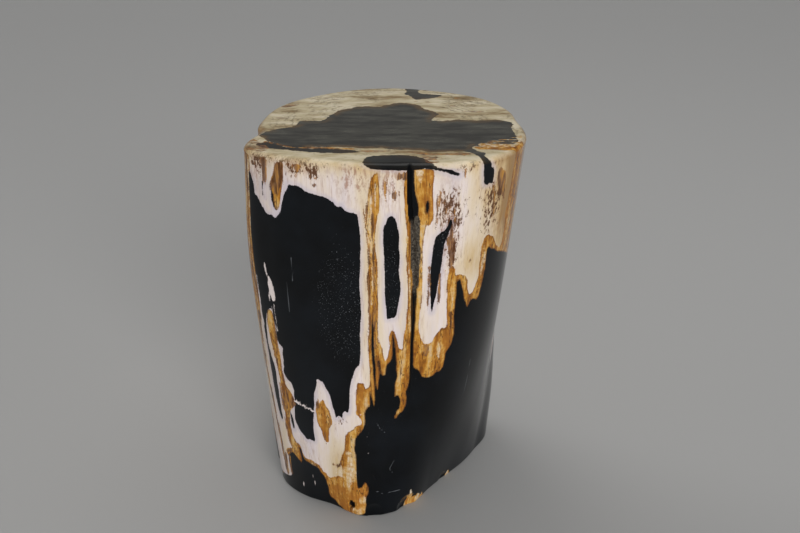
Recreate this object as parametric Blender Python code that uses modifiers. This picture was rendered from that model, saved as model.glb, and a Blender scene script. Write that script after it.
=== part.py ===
"""A petrified wood stool: one log of stone, sawn flat at both ends, rounded at the rim and polished.

The log stands on its foot. The origin is at the middle of the foot, +Z is up, and -Y is the front.
Bearings are degrees counterclockwise seen from above: 0 is the right side (+X), 90 the back, 270 the front.
"""

import math

import bmesh
import bpy
import numpy as np

MM = 0.001

HEIGHT = 440 * MM
RIM_ROUND = 6.5 * MM
FOOT_EASE = 2.5 * MM
SIDES = 96
RINGS = 24
RIM_SEGMENTS = 3
SHARP_ANGLE = math.radians(35)

# The trunk's radius in millimetres at each bearing, for five heights. It is broad and flat fronted at the rim,
# with a corner at the front left, and narrows at the front right to a blunt wedge at the foot.
BEARINGS = (0, 20, 40, 60, 90, 120, 150, 178, 198, 211, 224, 240, 258, 280, 300, 320, 340)
SECTIONS = (
    (0, (110, 138, 147, 142, 135, 137, 140, 141, 141, 142, 138, 131, 139, 123, 98, 90, 95)),
    (70, (121, 143, 151, 146, 139, 140, 144, 146, 148, 149, 145, 139, 141, 132, 116, 109, 111)),
    (180, (131, 143, 149, 146, 145, 144, 149, 150, 155, 162, 159, 150, 145, 143, 139, 134, 131)),
    (320, (141, 146, 152, 150, 149, 144, 147, 147, 157, 175, 169, 156, 150, 149, 155, 155, 149)),
    (440, (152, 153, 155, 151, 151, 146, 145, 143, 153, 174, 169, 155, 150, 151, 165, 169, 163)),
)

# Flutes are where two lobes of the living trunk met: bearing, half width in degrees, depth in mm at the rim and
# at the foot.
FLUTES = (
    (194, 4, 7, 7),
    (128, 7, 1, 6),
    (73, 6, 1, 3),
    (5, 5, 1.5, 1),
)

# A crevice is an open crack along the grain: points of bearing in degrees, height and half width in mm.
FRONT_CREVICE = (
    (279.6, 440, 2.6),
    (279.8, 400, 2.8),
    (281.4, 352, 3.6),
    (282.0, 300, 3.8),
    (281.6, 250, 2.4),
    (280.6, 172, 1.2),
)
BACK_CREVICE = (
    (101.0, 300, 1.4),
    (102.5, 240, 3.4),
    (101.5, 170, 2.8),
    (103.0, 110, 1.2),
)
CREVICE_RISE = 2 * MM
WELD_GAP = 0.01 * MM

# A scar is a shallow shell-shaped break at the foot's edge: bearing in degrees, height, radius of the curve and
# depth in mm. A pit is a small deep one.
SCARS = (
    (266, 4, 34, 2.5),
    (286, 0, 30, 2.5),
    (318, 0, 16, 2.0),
    (36, 0, 30, 4.0),
    (160, 2, 26, 3.5),
)
FOOT_PIT = (252.4, 14, 5, 6)
BALL_SEGMENTS = 20
BALL_RINGS = 12
BALL_TILT = (0.4, 0.3)

STONE_COLOUR = (0.16, 0.12, 0.09, 1)
STONE_ROUGHNESS = 0.25


def knot_slopes(knots, values):
    """The slope at each knot from its two neighbours, weighted to the nearer one."""
    step = np.diff(knots)
    rise = np.diff(values) / step
    inner = (rise[:-1] * step[1:] + rise[1:] * step[:-1]) / (step[:-1] + step[1:])
    return np.concatenate([rise[:1], inner, rise[-1:]])


def smooth_between(x, knots, values):
    """A cubic Hermite curve through the values at the knots, read at x."""
    slopes = knot_slopes(knots, values)
    k = np.clip(np.searchsorted(knots, x, side="right") - 1, 0, len(knots) - 2)
    step = knots[k + 1] - knots[k]
    t = (x - knots[k]) / step
    bend = (t**3 - 2 * t**2 + t) * step * slopes[k] + (t**3 - t**2) * step * slopes[k + 1]
    return values[k] + (3 * t**2 - 2 * t**3) * (values[k + 1] - values[k]) + bend


def section_radius(bearing, radii):
    """The radius at a bearing on one closed section, in mm. Three knots are repeated past each end."""
    around = np.array([*BEARINGS[-3:], *BEARINGS, *BEARINGS[:3]], float)
    around[:3] -= 360
    around[-3:] += 360
    closed = np.array([*radii[-3:], *radii, *radii[:3]], float)
    return smooth_between(bearing % 360, around, closed)


def trunk_radius(bearing, height):
    """The radius of the log in metres at a bearing in degrees and a height in metres."""
    heights = np.array([at for at, _ in SECTIONS], float)
    column = np.array([section_radius(bearing, radii) for _, radii in SECTIONS])
    radius = float(smooth_between(height / MM, heights, column))
    for centre, half_width, rim_depth, foot_depth in FLUTES:
        away = (bearing - centre + 180) % 360 - 180
        depth = foot_depth + (rim_depth - foot_depth) * height / HEIGHT
        radius -= depth * math.exp(-0.5 * (away / half_width) ** 2)
    return radius * MM


def on_surface(bearing, height, outward=0.0):
    """A point on the side of the log, or that far outside it."""
    reach = trunk_radius(bearing, height) + outward
    angle = math.radians(bearing)
    return (reach * math.cos(angle), reach * math.sin(angle), height)


def add_object(name, mesh, collection):
    placed = bpy.data.objects.new(name, mesh)
    collection.objects.link(placed)
    return placed


def make_log(collection):
    """A cylinder cut into rings, with every point moved out to the trunk's radius at its bearing and height."""
    shape = bmesh.new()
    bmesh.ops.create_cone(shape, cap_ends=True, segments=SIDES, radius1=1, radius2=1, depth=HEIGHT)
    bmesh.ops.translate(shape, verts=shape.verts, vec=(0, 0, HEIGHT / 2))
    uprights = [edge for edge in shape.edges if edge.verts[0].co.z != edge.verts[1].co.z]
    bmesh.ops.subdivide_edges(shape, edges=uprights, cuts=RINGS - 1, use_grid_fill=True)
    for vertex in shape.verts:
        bearing = math.degrees(math.atan2(vertex.co.y, vertex.co.x))
        vertex.co = on_surface(bearing, vertex.co.z)
    weight = shape.edges.layers.float.new("bevel_weight_edge")
    for edge in shape.edges:
        heights = [vertex.co.z for vertex in edge.verts]
        if min(heights) > HEIGHT - MM:
            edge[weight] = 1
        elif max(heights) < MM:
            edge[weight] = FOOT_EASE / RIM_ROUND
    mesh = bpy.data.meshes.new("petrified_log")
    shape.to_mesh(mesh)
    shape.free()
    log = add_object("petrified_log", mesh, collection)
    rounding = log.modifiers.new("rounded_rim", "BEVEL")
    rounding.limit_method = "WEIGHT"
    rounding.width = RIM_ROUND
    rounding.segments = RIM_SEGMENTS
    return log


def make_crevice_cutter(name, points, collection):
    """A tapering tube along the crevice, centred on the surface, so that it cuts as deep as its half width."""
    curve = bpy.data.curves.new(name, "CURVE")
    curve.dimensions = "3D"
    curve.bevel_depth = MM
    curve.bevel_resolution = 1
    curve.use_fill_caps = True
    line = curve.splines.new("POLY")
    line.points.add(len(points) - 1)
    for point, (bearing, height, half_width) in zip(line.points, points):
        x, y, z = on_surface(bearing, height * MM)
        out_of_rim = CREVICE_RISE if z >= HEIGHT else 0
        point.co = (x, y, z + out_of_rim, 1)
        point.radius = half_width
    drawn = add_object(name + "_line", curve, collection)
    graph = bpy.context.evaluated_depsgraph_get()
    mesh = bpy.data.meshes.new_from_object(drawn.evaluated_get(graph))
    bpy.data.objects.remove(drawn)
    welded = bmesh.new()
    welded.from_mesh(mesh)
    bmesh.ops.remove_doubles(welded, verts=welded.verts, dist=WELD_GAP)
    bmesh.ops.recalc_face_normals(welded, faces=welded.faces)
    welded.to_mesh(mesh)
    welded.free()
    add_object(name, mesh, collection)


def make_break_cutter(name, bearing, height, curve_radius, depth, collection):
    """A ball that stands outside the log and reaches that depth into it."""
    ball = bmesh.new()
    bmesh.ops.create_uvsphere(
        ball, u_segments=BALL_SEGMENTS, v_segments=BALL_RINGS, radius=curve_radius * MM
    )
    mesh = bpy.data.meshes.new(name)
    ball.to_mesh(mesh)
    ball.free()
    placed = add_object(name, mesh, collection)
    placed.location = on_surface(bearing, height * MM, (curve_radius - depth) * MM)
    placed.rotation_euler = (*BALL_TILT, math.radians(bearing))


def centre_on_foot(log, cutters):
    """Moves the log and its cutters so that the origin is at the middle of the log's box."""
    corners = np.array([vertex.co[:2] for vertex in log.data.vertices])
    middle = (corners.min(axis=0) + corners.max(axis=0)) / 2
    for placed in (log, *cutters.objects):
        placed.location.x -= middle[0]
        placed.location.y -= middle[1]
    print("moved by", np.round(-middle / MM, 2), "mm")


def polished_stone():
    stone = bpy.data.materials.new("polished_petrified_wood")
    stone.use_nodes = True
    shader = stone.node_tree.nodes["Principled BSDF"]
    shader.inputs["Base Color"].default_value = STONE_COLOUR
    shader.inputs["Roughness"].default_value = STONE_ROUGHNESS
    shader.inputs["Metallic"].default_value = 0
    return stone


def new_collection(name):
    made = bpy.data.collections.new(name)
    bpy.context.scene.collection.children.link(made)
    return made


def main():
    for old in list(bpy.data.objects):
        bpy.data.objects.remove(old)
    stool = new_collection("petrified_wood_stool")
    cutters = new_collection("cutters")
    log = make_log(stool)
    make_crevice_cutter("front_crevice", FRONT_CREVICE, cutters)
    make_crevice_cutter("back_crevice", BACK_CREVICE, cutters)
    for number, scar in enumerate(SCARS, start=1):
        make_break_cutter(f"scar_{number}", *scar, cutters)
    make_break_cutter("foot_pit", *FOOT_PIT, cutters)
    for cutter in cutters.objects:
        cutter.hide_render = True
        cutter.display_type = "WIRE"
    breaks = log.modifiers.new("natural_breaks", "BOOLEAN")
    breaks.operand_type = "COLLECTION"
    breaks.collection = cutters
    breaks.operation = "DIFFERENCE"
    centre_on_foot(log, cutters)
    log.data.materials.append(polished_stone())
    log.data.shade_smooth()
    log.data.set_sharp_from_angle(angle=SHARP_ANGLE)


main()
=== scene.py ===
# %% [markdown]
# A petrified wood stool. A log turned to stone, was sawn flat at both ends and polished. The solid part is
# already modelled, so this lesson adds what makes it look real: a fine surface, the markings that follow
# the old grain, a glossy stone material, light and a camera.

# %% Load the solid part as a fixed frame
import math

import bpy
import numpy as np
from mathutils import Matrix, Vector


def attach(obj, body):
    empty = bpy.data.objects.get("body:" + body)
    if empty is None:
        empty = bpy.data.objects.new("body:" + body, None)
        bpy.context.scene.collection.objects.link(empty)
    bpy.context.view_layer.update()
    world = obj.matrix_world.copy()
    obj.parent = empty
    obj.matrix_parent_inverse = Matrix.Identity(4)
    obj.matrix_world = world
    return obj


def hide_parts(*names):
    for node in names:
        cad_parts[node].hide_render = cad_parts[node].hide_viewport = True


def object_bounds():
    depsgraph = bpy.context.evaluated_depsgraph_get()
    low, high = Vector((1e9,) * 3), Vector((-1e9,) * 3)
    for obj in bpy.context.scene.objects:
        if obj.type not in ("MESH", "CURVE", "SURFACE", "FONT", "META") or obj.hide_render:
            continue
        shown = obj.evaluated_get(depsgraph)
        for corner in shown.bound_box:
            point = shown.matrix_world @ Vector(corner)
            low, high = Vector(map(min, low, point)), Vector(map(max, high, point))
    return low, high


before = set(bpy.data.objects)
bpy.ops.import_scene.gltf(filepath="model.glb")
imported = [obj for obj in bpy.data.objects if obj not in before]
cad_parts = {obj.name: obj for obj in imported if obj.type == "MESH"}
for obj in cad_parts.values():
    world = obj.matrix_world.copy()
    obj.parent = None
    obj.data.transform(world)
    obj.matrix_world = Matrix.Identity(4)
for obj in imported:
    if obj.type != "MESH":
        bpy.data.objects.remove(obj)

MM = 0.001
solid_box = [list(corner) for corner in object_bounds()]
print("solid part, mm:", [round((high - low) / MM, 1) for low, high in zip(*solid_box)])

# %% [markdown]
# The log's outline. Five sawn sections, as a sawyer would draw them, give its radius at each bearing. A
# smooth curve runs through the sections, around the log and from foot to rim. These are the same sections
# as in the solid part, so the fine surface lies on it. Bearings are degrees counterclockwise from the right
# side: 270 is the front. The section at 70 mm started as an interpolation between the others, made by a
# helper script, and was then changed by hand.

# %% The five sections and the flutes between the lobes
HEIGHT = 440
RIM_ROUND = 6.5
FOOT_EASE = 2.5
BEARINGS = (0, 20, 40, 60, 90, 120, 150, 178, 198, 211, 224, 240, 258, 280, 300, 320, 340)
SECTIONS = (
    (0, (110, 138, 147, 142, 135, 137, 140, 141, 141, 142, 138, 131, 139, 123, 98, 90, 95)),
    (70, (121, 143, 151, 146, 139, 140, 144, 146, 148, 149, 145, 139, 141, 132, 116, 109, 111)),
    (180, (131, 143, 149, 146, 145, 144, 149, 150, 155, 162, 159, 150, 145, 143, 139, 134, 131)),
    (320, (141, 146, 152, 150, 149, 144, 147, 147, 157, 175, 169, 156, 150, 149, 155, 155, 149)),
    (440, (152, 153, 155, 151, 151, 146, 145, 143, 153, 174, 169, 155, 150, 151, 165, 169, 163)),
)
# Each flute: bearing, half width in degrees, depth in mm at the rim and at the foot.
FLUTES = (
    (194, 4, 7, 7),
    (128, 7, 1, 6),
    (73, 6, 1, 3),
    (5, 5, 1.5, 1),
)
FULL_TURN = 360
REPEATED_KNOTS = 3


def smooth_between(x, knots, values):
    """Cubic curves through the values at the knots. Each knot's slope is the mean of the slopes on its two
    sides, weighted to the nearer neighbour. Values may hold several columns, one curve each."""
    step = np.diff(knots)[:, None]
    rise = np.diff(values, axis=0) / step
    inner = (rise[:-1] * step[1:] + rise[1:] * step[:-1]) / (step[:-1] + step[1:])
    slopes = np.concatenate([rise[:1], inner, rise[-1:]])
    k = np.clip(np.searchsorted(knots, x, side="right") - 1, 0, len(knots) - 2)
    t = (x - knots[k])[:, None] / step[k]
    bend = (t**3 - 2 * t**2 + t) * step[k] * slopes[k] + (t**3 - t**2) * step[k] * slopes[k + 1]
    return values[k] + (3 * t**2 - 2 * t**3) * (values[k + 1] - values[k]) + bend


def trunk_radius(bearings, heights):
    """The log's radius in mm, one row for each height: a curve around each section, then a curve up through
    the five sections, less a bell-shaped dip at each flute."""
    ends = REPEATED_KNOTS
    knots = np.array([*BEARINGS[-ends:], *BEARINGS, *BEARINGS[:ends]], float)
    knots[:ends] -= FULL_TURN
    knots[-ends:] += FULL_TURN
    radii = np.array([section for _, section in SECTIONS], float)
    closed = np.concatenate([radii[:, -ends:], radii, radii[:, :ends]], axis=1).T
    around = smooth_between(bearings % FULL_TURN, knots, closed).T
    section_heights = np.array([height for height, _ in SECTIONS], float)
    radius = smooth_between(heights, section_heights, around)
    for centre, half_width, rim_depth, foot_depth in FLUTES:
        away = (bearings - centre + FULL_TURN / 2) % FULL_TURN - FULL_TURN / 2
        depth = foot_depth + (rim_depth - foot_depth) * heights[:, None] / HEIGHT
        radius = radius - depth * np.exp(-0.5 * (away / half_width) ** 2)
    return radius


front = trunk_radius(np.array([270.0]), np.array([0.0, HEIGHT]))
print("front radius at foot and rim, mm:", np.round(front[:, 0], 1))

# %% [markdown]
# The side is unrolled onto a chart, like a label peeled off a tin. Across the chart runs u, the arc in mm
# from the middle of the front, to the right, at one reference radius. Up it runs z, the height. All
# markings on the side are drawn on this chart. The columns of the grid stand close together where the
# front's markings are fine, closest at the crevices, and further apart round the back.

# %% The columns and rows of the fine grid
CHART_RADIUS = 155
FRONT_BEARING = 270
HALF_ROUND = math.pi * CHART_RADIUS
FRONT_LEFT, FRONT_RIGHT = -195, 165
CREVICE_U, BACK_CREVICE_U = 31, -453
FRONT_SPACING, BACK_SPACING, CREVICE_SPACING = 1.6, 2.45, 1.0
CREVICE_REACH = 9
CHART_STEPS = 20000
# Rows: a height, and the spacing from there up.
ROW_SPACINGS = ((2.5, 1.6), (26, 3.2), (122, 2.2), (150, 3.3), (385, 2.4))
ROUNDING_ROWS = 6
SEAT_RINGS = 36
FOOT_ROWS = 3
# Rings on the underside, as shares of the foot's size.
FOOT_SHARES = (0.3, 0.6, 0.85)


def bearing_of(u):
    """The bearing in degrees of an arc u on the chart."""
    return FRONT_BEARING + np.degrees(u / CHART_RADIUS)


def column_positions():
    """Columns so dense that each place has its own spacing: positions where the running sum of one over the
    spacing reaches whole steps."""
    u = np.linspace(-HALF_ROUND, HALF_ROUND, CHART_STEPS + 1)
    spacing = np.where((u > FRONT_LEFT) & (u < FRONT_RIGHT), FRONT_SPACING, BACK_SPACING)
    for middle in (CREVICE_U, BACK_CREVICE_U):
        spacing = np.where(np.abs(u - middle) < CREVICE_REACH, CREVICE_SPACING, spacing)
    running = np.concatenate([[0], np.cumsum(np.diff(u) / spacing[1:])])
    count = int(running[-1])
    return np.interp(np.arange(count) * running[-1] / count, running, u)


def rows_of_log():
    """For each row: its height, how far its outline is drawn in from the side, its share of the drawn-in
    outline's size (0 at the middle of the seat or foot), and its seat weight (0 on the side, 1 on the
    seat)."""
    turn = np.linspace(0, math.pi / 2, ROUNDING_ROWS + 1)
    ease = np.linspace(0, math.pi / 2, FOOT_ROWS + 1)
    ends = [start for start, _ in ROW_SPACINGS[1:]] + [HEIGHT - RIM_ROUND]
    side = [np.arange(start, end - step / 2, step) for (start, step), end in zip(ROW_SPACINGS, ends)]
    side = np.concatenate([*side, [HEIGHT - RIM_ROUND]])
    side_count = len(side)
    rings = np.linspace(1, 0, SEAT_RINGS + 1)[1:-1]
    foot = np.array(FOOT_SHARES)
    rim_height = HEIGHT - RIM_ROUND + RIM_ROUND * np.sin(turn[1:])
    rim_inset = RIM_ROUND * (1 - np.cos(turn[1:]))
    foot_height = FOOT_EASE * (1 - np.cos(ease[:-1]))
    foot_inset = FOOT_EASE * (1 - np.sin(ease[:-1]))
    height = [0 * foot, foot_height, side, rim_height, np.full(len(rings), HEIGHT)]
    inset = [0 * foot + FOOT_EASE, foot_inset, 0 * side, rim_inset, np.full(len(rings), RIM_ROUND)]
    share = [foot, np.ones(FOOT_ROWS), np.ones(side_count), np.ones(ROUNDING_ROWS), rings]
    seat = [0 * foot, np.zeros(FOOT_ROWS), np.zeros(side_count), turn[1:] / (math.pi / 2), np.ones(len(rings))]
    return [np.concatenate(part) for part in (height, inset, share, seat)]


column_u = column_positions()
row_height, row_inset, row_share, row_seat = rows_of_log()
print("grid:", len(row_height), "rows by", len(column_u), "columns")

# %% [markdown]
# The points. Each row of the grid is the log's outline at one height. Round the rim and at the foot's edge
# it is drawn in along its own normal, which rounds the edge evenly, and on the seat and the underside it
# shrinks towards the axis.

# %% The points of the log
def log_points():
    """Each row is the outline at its height, drawn in along the outline's own plan normal by the row's
    inset, then scaled towards the axis by the row's share."""
    bearings = bearing_of(column_u)
    angle = np.radians(bearings)
    radius = trunk_radius(bearings, row_height)
    plan = np.stack([radius * np.cos(angle), radius * np.sin(angle)], axis=-1)
    along = np.roll(plan, -1, axis=1) - np.roll(plan, 1, axis=1)
    outward = np.stack([along[..., 1], -along[..., 0]], axis=-1)
    outward /= np.linalg.norm(outward, axis=-1, keepdims=True)
    plan = (plan - outward * row_inset[:, None, None]) * row_share[:, None, None]
    height = np.broadcast_to(row_height[:, None, None], (*plan.shape[:2], 1))
    return np.concatenate([plan, height], axis=-1), outward


points, outward = log_points()
print("rim, mm:", np.round(np.ptp(points[..., 0]), 1), "by", np.round(np.ptp(points[..., 1]), 1))

# %% [markdown]
# Cracks, breaks and a pit. The crevice down the front is an open crack along the grain, so it is a round
# groove that runs down a line and is as deep as its half width. The breaks at the foot's edge are shell
# shaped, as stone breaks: a ball pressed into the surface gives that shape. The polished face is never
# quite flat, so it swells and dips by a few tenths of a millimetre.

# %% Grooves, shell breaks and the polished swell
# Crevice points: bearing in degrees, height and half width in mm.
FRONT_CREVICE = (
    (279.6, 440, 2.6),
    (279.8, 400, 2.8),
    (281.4, 352, 3.6),
    (282.0, 300, 3.8),
    (281.6, 250, 2.4),
    (280.6, 172, 1.2),
)
BACK_CREVICE = (
    (101.0, 300, 1.4),
    (102.5, 240, 3.4),
    (101.5, 170, 2.8),
    (103.0, 110, 1.2),
)
# Breaks: bearing, height, radius of the ball and depth in mm.
BREAKS = (
    (266, 4, 34, 2.5),
    (286, 0, 30, 2.5),
    (318, 0, 16, 2.0),
    (36, 0, 30, 4.0),
    (160, 2, 26, 3.5),
    (252.4, 14, 5, 6),
)
CREVICE_TAPER = 12
SWELL_HEIGHT = 0.13
# The side is ground back this far, in mm, which keeps all but the tops of the swell inside the solid part.
GROUND_BACK = 0.3


def groove_depth(crevice):
    """The depth of a round groove at every point of the grid: the square root of half width squared less
    the distance to the crevice's line squared. It fades out past the crevice's two ends and over the
    rim."""
    bearing, height, half_width = np.array(crevice[::-1], float).T
    line = np.interp(row_height, height, bearing)
    width = np.interp(row_height, height, half_width)
    past = np.maximum(height[0] - row_height, 0) + np.maximum(row_height - height[-1], 0)
    width = width * np.clip(1 - past / CREVICE_TAPER, 0, 1) * (1 - row_seat)
    turn = (bearing_of(column_u)[None] - line[:, None] + FULL_TURN / 2) % FULL_TURN - FULL_TURN / 2
    away = np.radians(turn) * CHART_RADIUS
    return np.sqrt(np.maximum(width[:, None] ** 2 - away**2, 0))


def pressed_depth(surface, inward, break_at):
    """How far inward each point must move to lie on the ball that made the break: the root of the ball's
    equation along the inward direction, and nothing for points outside the ball."""
    bearing, height, ball, depth = break_at
    reach = trunk_radius(np.array([bearing]), np.array([float(height)]))[0, 0] + ball - depth
    angle = math.radians(bearing)
    centre = np.array([reach * math.cos(angle), reach * math.sin(angle), height])
    offset = surface - centre
    along = (offset * inward).sum(axis=-1)
    under = along**2 - (offset**2).sum(axis=-1) + ball**2
    return np.where(under > along**2, -along + np.sqrt(np.maximum(under, 0)), 0)


def swell(surface):
    """A slow swell of the polished face in mm: three crossed sine waves, long along the grain."""
    x, y, z = np.moveaxis(surface, -1, 0)
    waves = np.sin(x / 17 + z / 90) + np.sin(y / 13 - z / 70 + 1.3) + np.sin((x + y) / 23 + z / 41 + 0.4)
    return SWELL_HEIGHT * waves


crevice_depth = groove_depth(FRONT_CREVICE) + groove_depth(BACK_CREVICE)
sideways = np.concatenate([-outward, np.zeros((*outward.shape[:2], 1))], axis=-1)
on_side = (row_seat == 0)[:, None] & (row_share == 1)[:, None]
points = points + sideways * (crevice_depth + np.where(on_side, swell(points) + GROUND_BACK, 0))[..., None]
for break_at in BREAKS:
    points = points + sideways * pressed_depth(points, sideways, break_at)[..., None]
print("deepest groove, mm:", round(float(crevice_depth.max()), 2))

# %% [markdown]
# Markings as depths. A marking is a closed line drawn on the chart. For every point of the surface the
# script works out how deep the point lies inside that line, in mm, and stores it as an attribute: positive
# inside, negative outside. The material later reads the attribute, and can draw a crisp edge, a soft edge
# or a border a few mm wide from the same number. This keeps edges sharp on a grid that is coarser than they
# are.

# %% Depth inside an outline, a line and a spot
# A depth is worked out this far from its mark's edge, in mm.
REACH = 26


def rounded_outline(outline, steps=3):
    """A closed smooth curve through the outline's corners: on each stretch a cubic whose slope at each
    corner is half the line between its neighbours."""
    corner = np.array(outline, float)
    before, after, later = np.roll(corner, 1, 0), np.roll(corner, -1, 0), np.roll(corner, -2, 0)
    t = (np.arange(steps) / steps)[None, :, None]
    p0, p1, p2, p3 = (part[:, None] for part in (before, corner, after, later))
    curve = p1 + 0.5 * t * (p2 - p0 + t * (2 * p0 - 5 * p1 + 4 * p2 - p3 + t * (3 * (p1 - p2) + p3 - p0)))
    return curve.reshape(-1, 2)


def distance_to_stretches(place, starts, ends):
    """The distance from each place to the nearest of the straight stretches, and whether an upright line
    down from it crosses an odd number of them."""
    nearest = np.full(len(place), np.inf)
    inside = np.zeros(len(place), bool)
    for start, end in zip(starts, ends):
        run = end - start
        offset = place - start
        share = np.clip(offset @ run / max(run @ run, 1e-9), 0, 1)
        gap = offset - share[:, None] * run
        nearest = np.minimum(nearest, (gap**2).sum(axis=1))
        if start[0] != end[0]:
            between = (place[:, 0] >= start[0]) != (place[:, 0] >= end[0])
            crossing = start[1] + (place[:, 0] - start[0]) * run[1] / run[0]
            inside ^= between & (place[:, 1] > crossing)
    return np.sqrt(nearest), inside


def near_box(place, corners):
    """The places within reach of a mark's box."""
    low, high = corners.min(axis=0) - REACH, corners.max(axis=0) + REACH
    return ((place > low) & (place < high)).all(axis=1)


def depth_of_outline(place, outline):
    """Depth inside a closed outline in mm: the distance to it, counted negative outside."""
    curve = rounded_outline(outline)
    depth = np.full(len(place), -float(REACH))
    near = near_box(place, curve)
    distance, inside = distance_to_stretches(place[near], curve, np.roll(curve, -1, 0))
    depth[near] = np.clip(np.where(inside, distance, -distance), -REACH, REACH)
    return depth


def depth_of_line(place, half_width, corners):
    """Depth inside a drawn line in mm: its half width less the distance to it."""
    corners = np.array(corners, float)
    depth = np.full(len(place), -float(REACH))
    near = near_box(place, corners)
    distance, _ = distance_to_stretches(place[near], corners[:-1], corners[1:])
    depth[near] = np.clip(half_width - distance, -REACH, REACH)
    return depth


def depth_of_spot(place, u, z, half_width, half_height):
    """Depth inside an oval spot in mm, measured across the grain."""
    stretch = half_width / half_height
    return np.clip(half_width - np.hypot(place[:, 0] - u, (place[:, 1] - z) * stretch), -REACH, REACH)


grid_u = np.broadcast_to(column_u, points.shape[:2]).ravel()
grid_z = np.repeat(row_height, len(column_u))
grid_seat = np.repeat(row_seat, len(column_u))
seat_place = points[..., :2].reshape(-1, 2)


def side_place(corners):
    """The grid's places on the chart, with u wrapped so that the mark with these corners may cross the
    back."""
    middle = float(np.mean([u for u, _ in corners]))
    u = (grid_u - middle + HALF_ROUND) % (2 * HALF_ROUND) - HALF_ROUND + middle
    return np.stack([u, grid_z], axis=1)


def deepest(place_for, outlines=(), lines=(), spots=()):
    """The deepest depth inside any of the marks, with the places that the first argument gives for each
    one."""
    depth = np.full(len(grid_u), -float(REACH))
    for outline in outlines:
        depth = np.maximum(depth, depth_of_outline(place_for(outline), outline))
    for half_width, *corners in lines:
        depth = np.maximum(depth, depth_of_line(place_for(corners), half_width, corners))
    for spot in spots:
        depth = np.maximum(depth, depth_of_spot(place_for([spot[:2]]), *spot))
    return depth


def depth_on_side(*marks):
    """The deepest depth inside the side's outlines, lines and spots."""
    return deepest(side_place, *marks)


def depth_on_seat(*marks):
    """The deepest depth inside the seat's outlines, lines and spots, which are drawn in plan."""
    return deepest(lambda corners: seat_place, *marks)


def over_the_rim(side, seat):
    """The side's depth turned into the seat's over the rounding."""
    return side * (1 - grid_seat) + seat * grid_seat


print("places on the chart:", len(grid_u))

# %% [markdown]
# Black. Where the water that turned the wood to stone carried carbon, the stone is black and takes the best
# polish. On the front it makes a tall panel like a flame at the left, a slim lens in the middle, and a
# large field that climbs in tongues from the foot at the right. Each outline is a list of points along its
# edge, as u and z in mm. The large outlines were read on the unrolled chart. Some of the smaller marks,
# here and further on, hold points that were picked by eye and turned into mm by a helper script.

# %% Black on the front
TALL_FLAME = (
    (-150, 416), (-147, 414), (-145, 410), (-143.5, 405), (-142.3, 399), (-141.8, 393), (-138.5, 391),
    (-136, 386), (-133, 381), (-130, 377), (-127, 374), (-121, 374), (-118.5, 371.5), (-116, 374),
    (-113, 378), (-111, 384), (-109.5, 390), (-108, 397), (-106, 402), (-104, 407), (-102.5, 411.5),
    (-100, 410.8), (-96, 411), (-92, 410), (-86, 406.5), (-82, 404.5), (-76, 403), (-66, 401.5), (-60, 399),
    (-55, 396), (-52, 393), (-49, 391.8), (-47.5, 393.5), (-46, 392), (-43, 389), (-38, 387), (-32, 386.2),
    (-29.5, 385), (-28.3, 381), (-27.3, 372), (-26.5, 360), (-26, 345), (-26.5, 335), (-27.2, 322),
    (-28.2, 305), (-27.6, 290), (-27.2, 272), (-28, 258), (-29.5, 243), (-29.2, 228), (-30, 213),
    (-31, 207), (-35, 202), (-38.5, 194), (-40.5, 186), (-42.5, 176), (-43.8, 165), (-44.5, 152),
    (-46, 145), (-47.5, 142), (-50, 144.5), (-52.5, 142), (-53.5, 138), (-54.5, 134), (-58.5, 137),
    (-61, 135), (-63, 132), (-63.5, 138), (-66, 149), (-68.5, 161), (-70.5, 166), (-73, 172), (-77, 178.5),
    (-80, 179.5), (-84, 181), (-84.5, 175), (-86.5, 168), (-88.5, 162), (-89.8, 154), (-90, 146),
    (-91.5, 139), (-92, 132), (-94, 122), (-95.2, 110), (-95.5, 98), (-96, 91), (-101, 92), (-107.5, 91),
    (-110, 93.5), (-113, 97), (-117, 102), (-119, 107), (-121, 113), (-121.5, 120), (-120, 127),
    (-118.5, 134), (-117, 139), (-116.5, 143), (-117, 149), (-115.5, 157), (-116.5, 161), (-118, 166),
    (-121, 169), (-124, 171), (-126, 176), (-127.5, 180), (-125.5, 185), (-126, 190), (-125, 197),
    (-125, 205), (-124, 211), (-126, 215), (-129.5, 218), (-130, 230), (-130.5, 245), (-131.5, 256),
    (-134, 259), (-137, 256), (-139, 256), (-141, 249), (-143, 241), (-144.5, 233), (-145.5, 222),
    (-146, 208), (-145, 196), (-142, 184), (-141, 175), (-142, 160), (-141.5, 150), (-143, 133),
    (-144.5, 116), (-143.5, 110), (-146, 104.5), (-148, 107), (-149.5, 115), (-150.5, 130), (-150, 155),
    (-149.5, 180), (-149, 205), (-149.3, 225), (-149, 240), (-150, 260), (-150, 300), (-151, 345),
    (-150.5, 380), (-150.5, 405),
)
FOOT_LEFT = (
    (-170, -10), (-170, 12), (-164, 16), (-152, 19), (-146, 23), (-144.5, 28), (-146, 35), (-147, 45),
    (-146, 50), (-142, 56), (-138, 60), (-134, 60), (-130, 57), (-126, 53.5), (-122, 52), (-120, 57),
    (-121.5, 66), (-123, 72), (-121, 74), (-119.5, 69), (-117.5, 62), (-115, 57), (-111, 56.5), (-105, 54),
    (-99, 53), (-95, 50), (-92, 45), (-88, 42), (-86, 35), (-84, 25), (-84, 18), (-82, 13), (-75, 10),
    (-68, 5), (-60, 0), (-60, -10),
)
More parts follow.
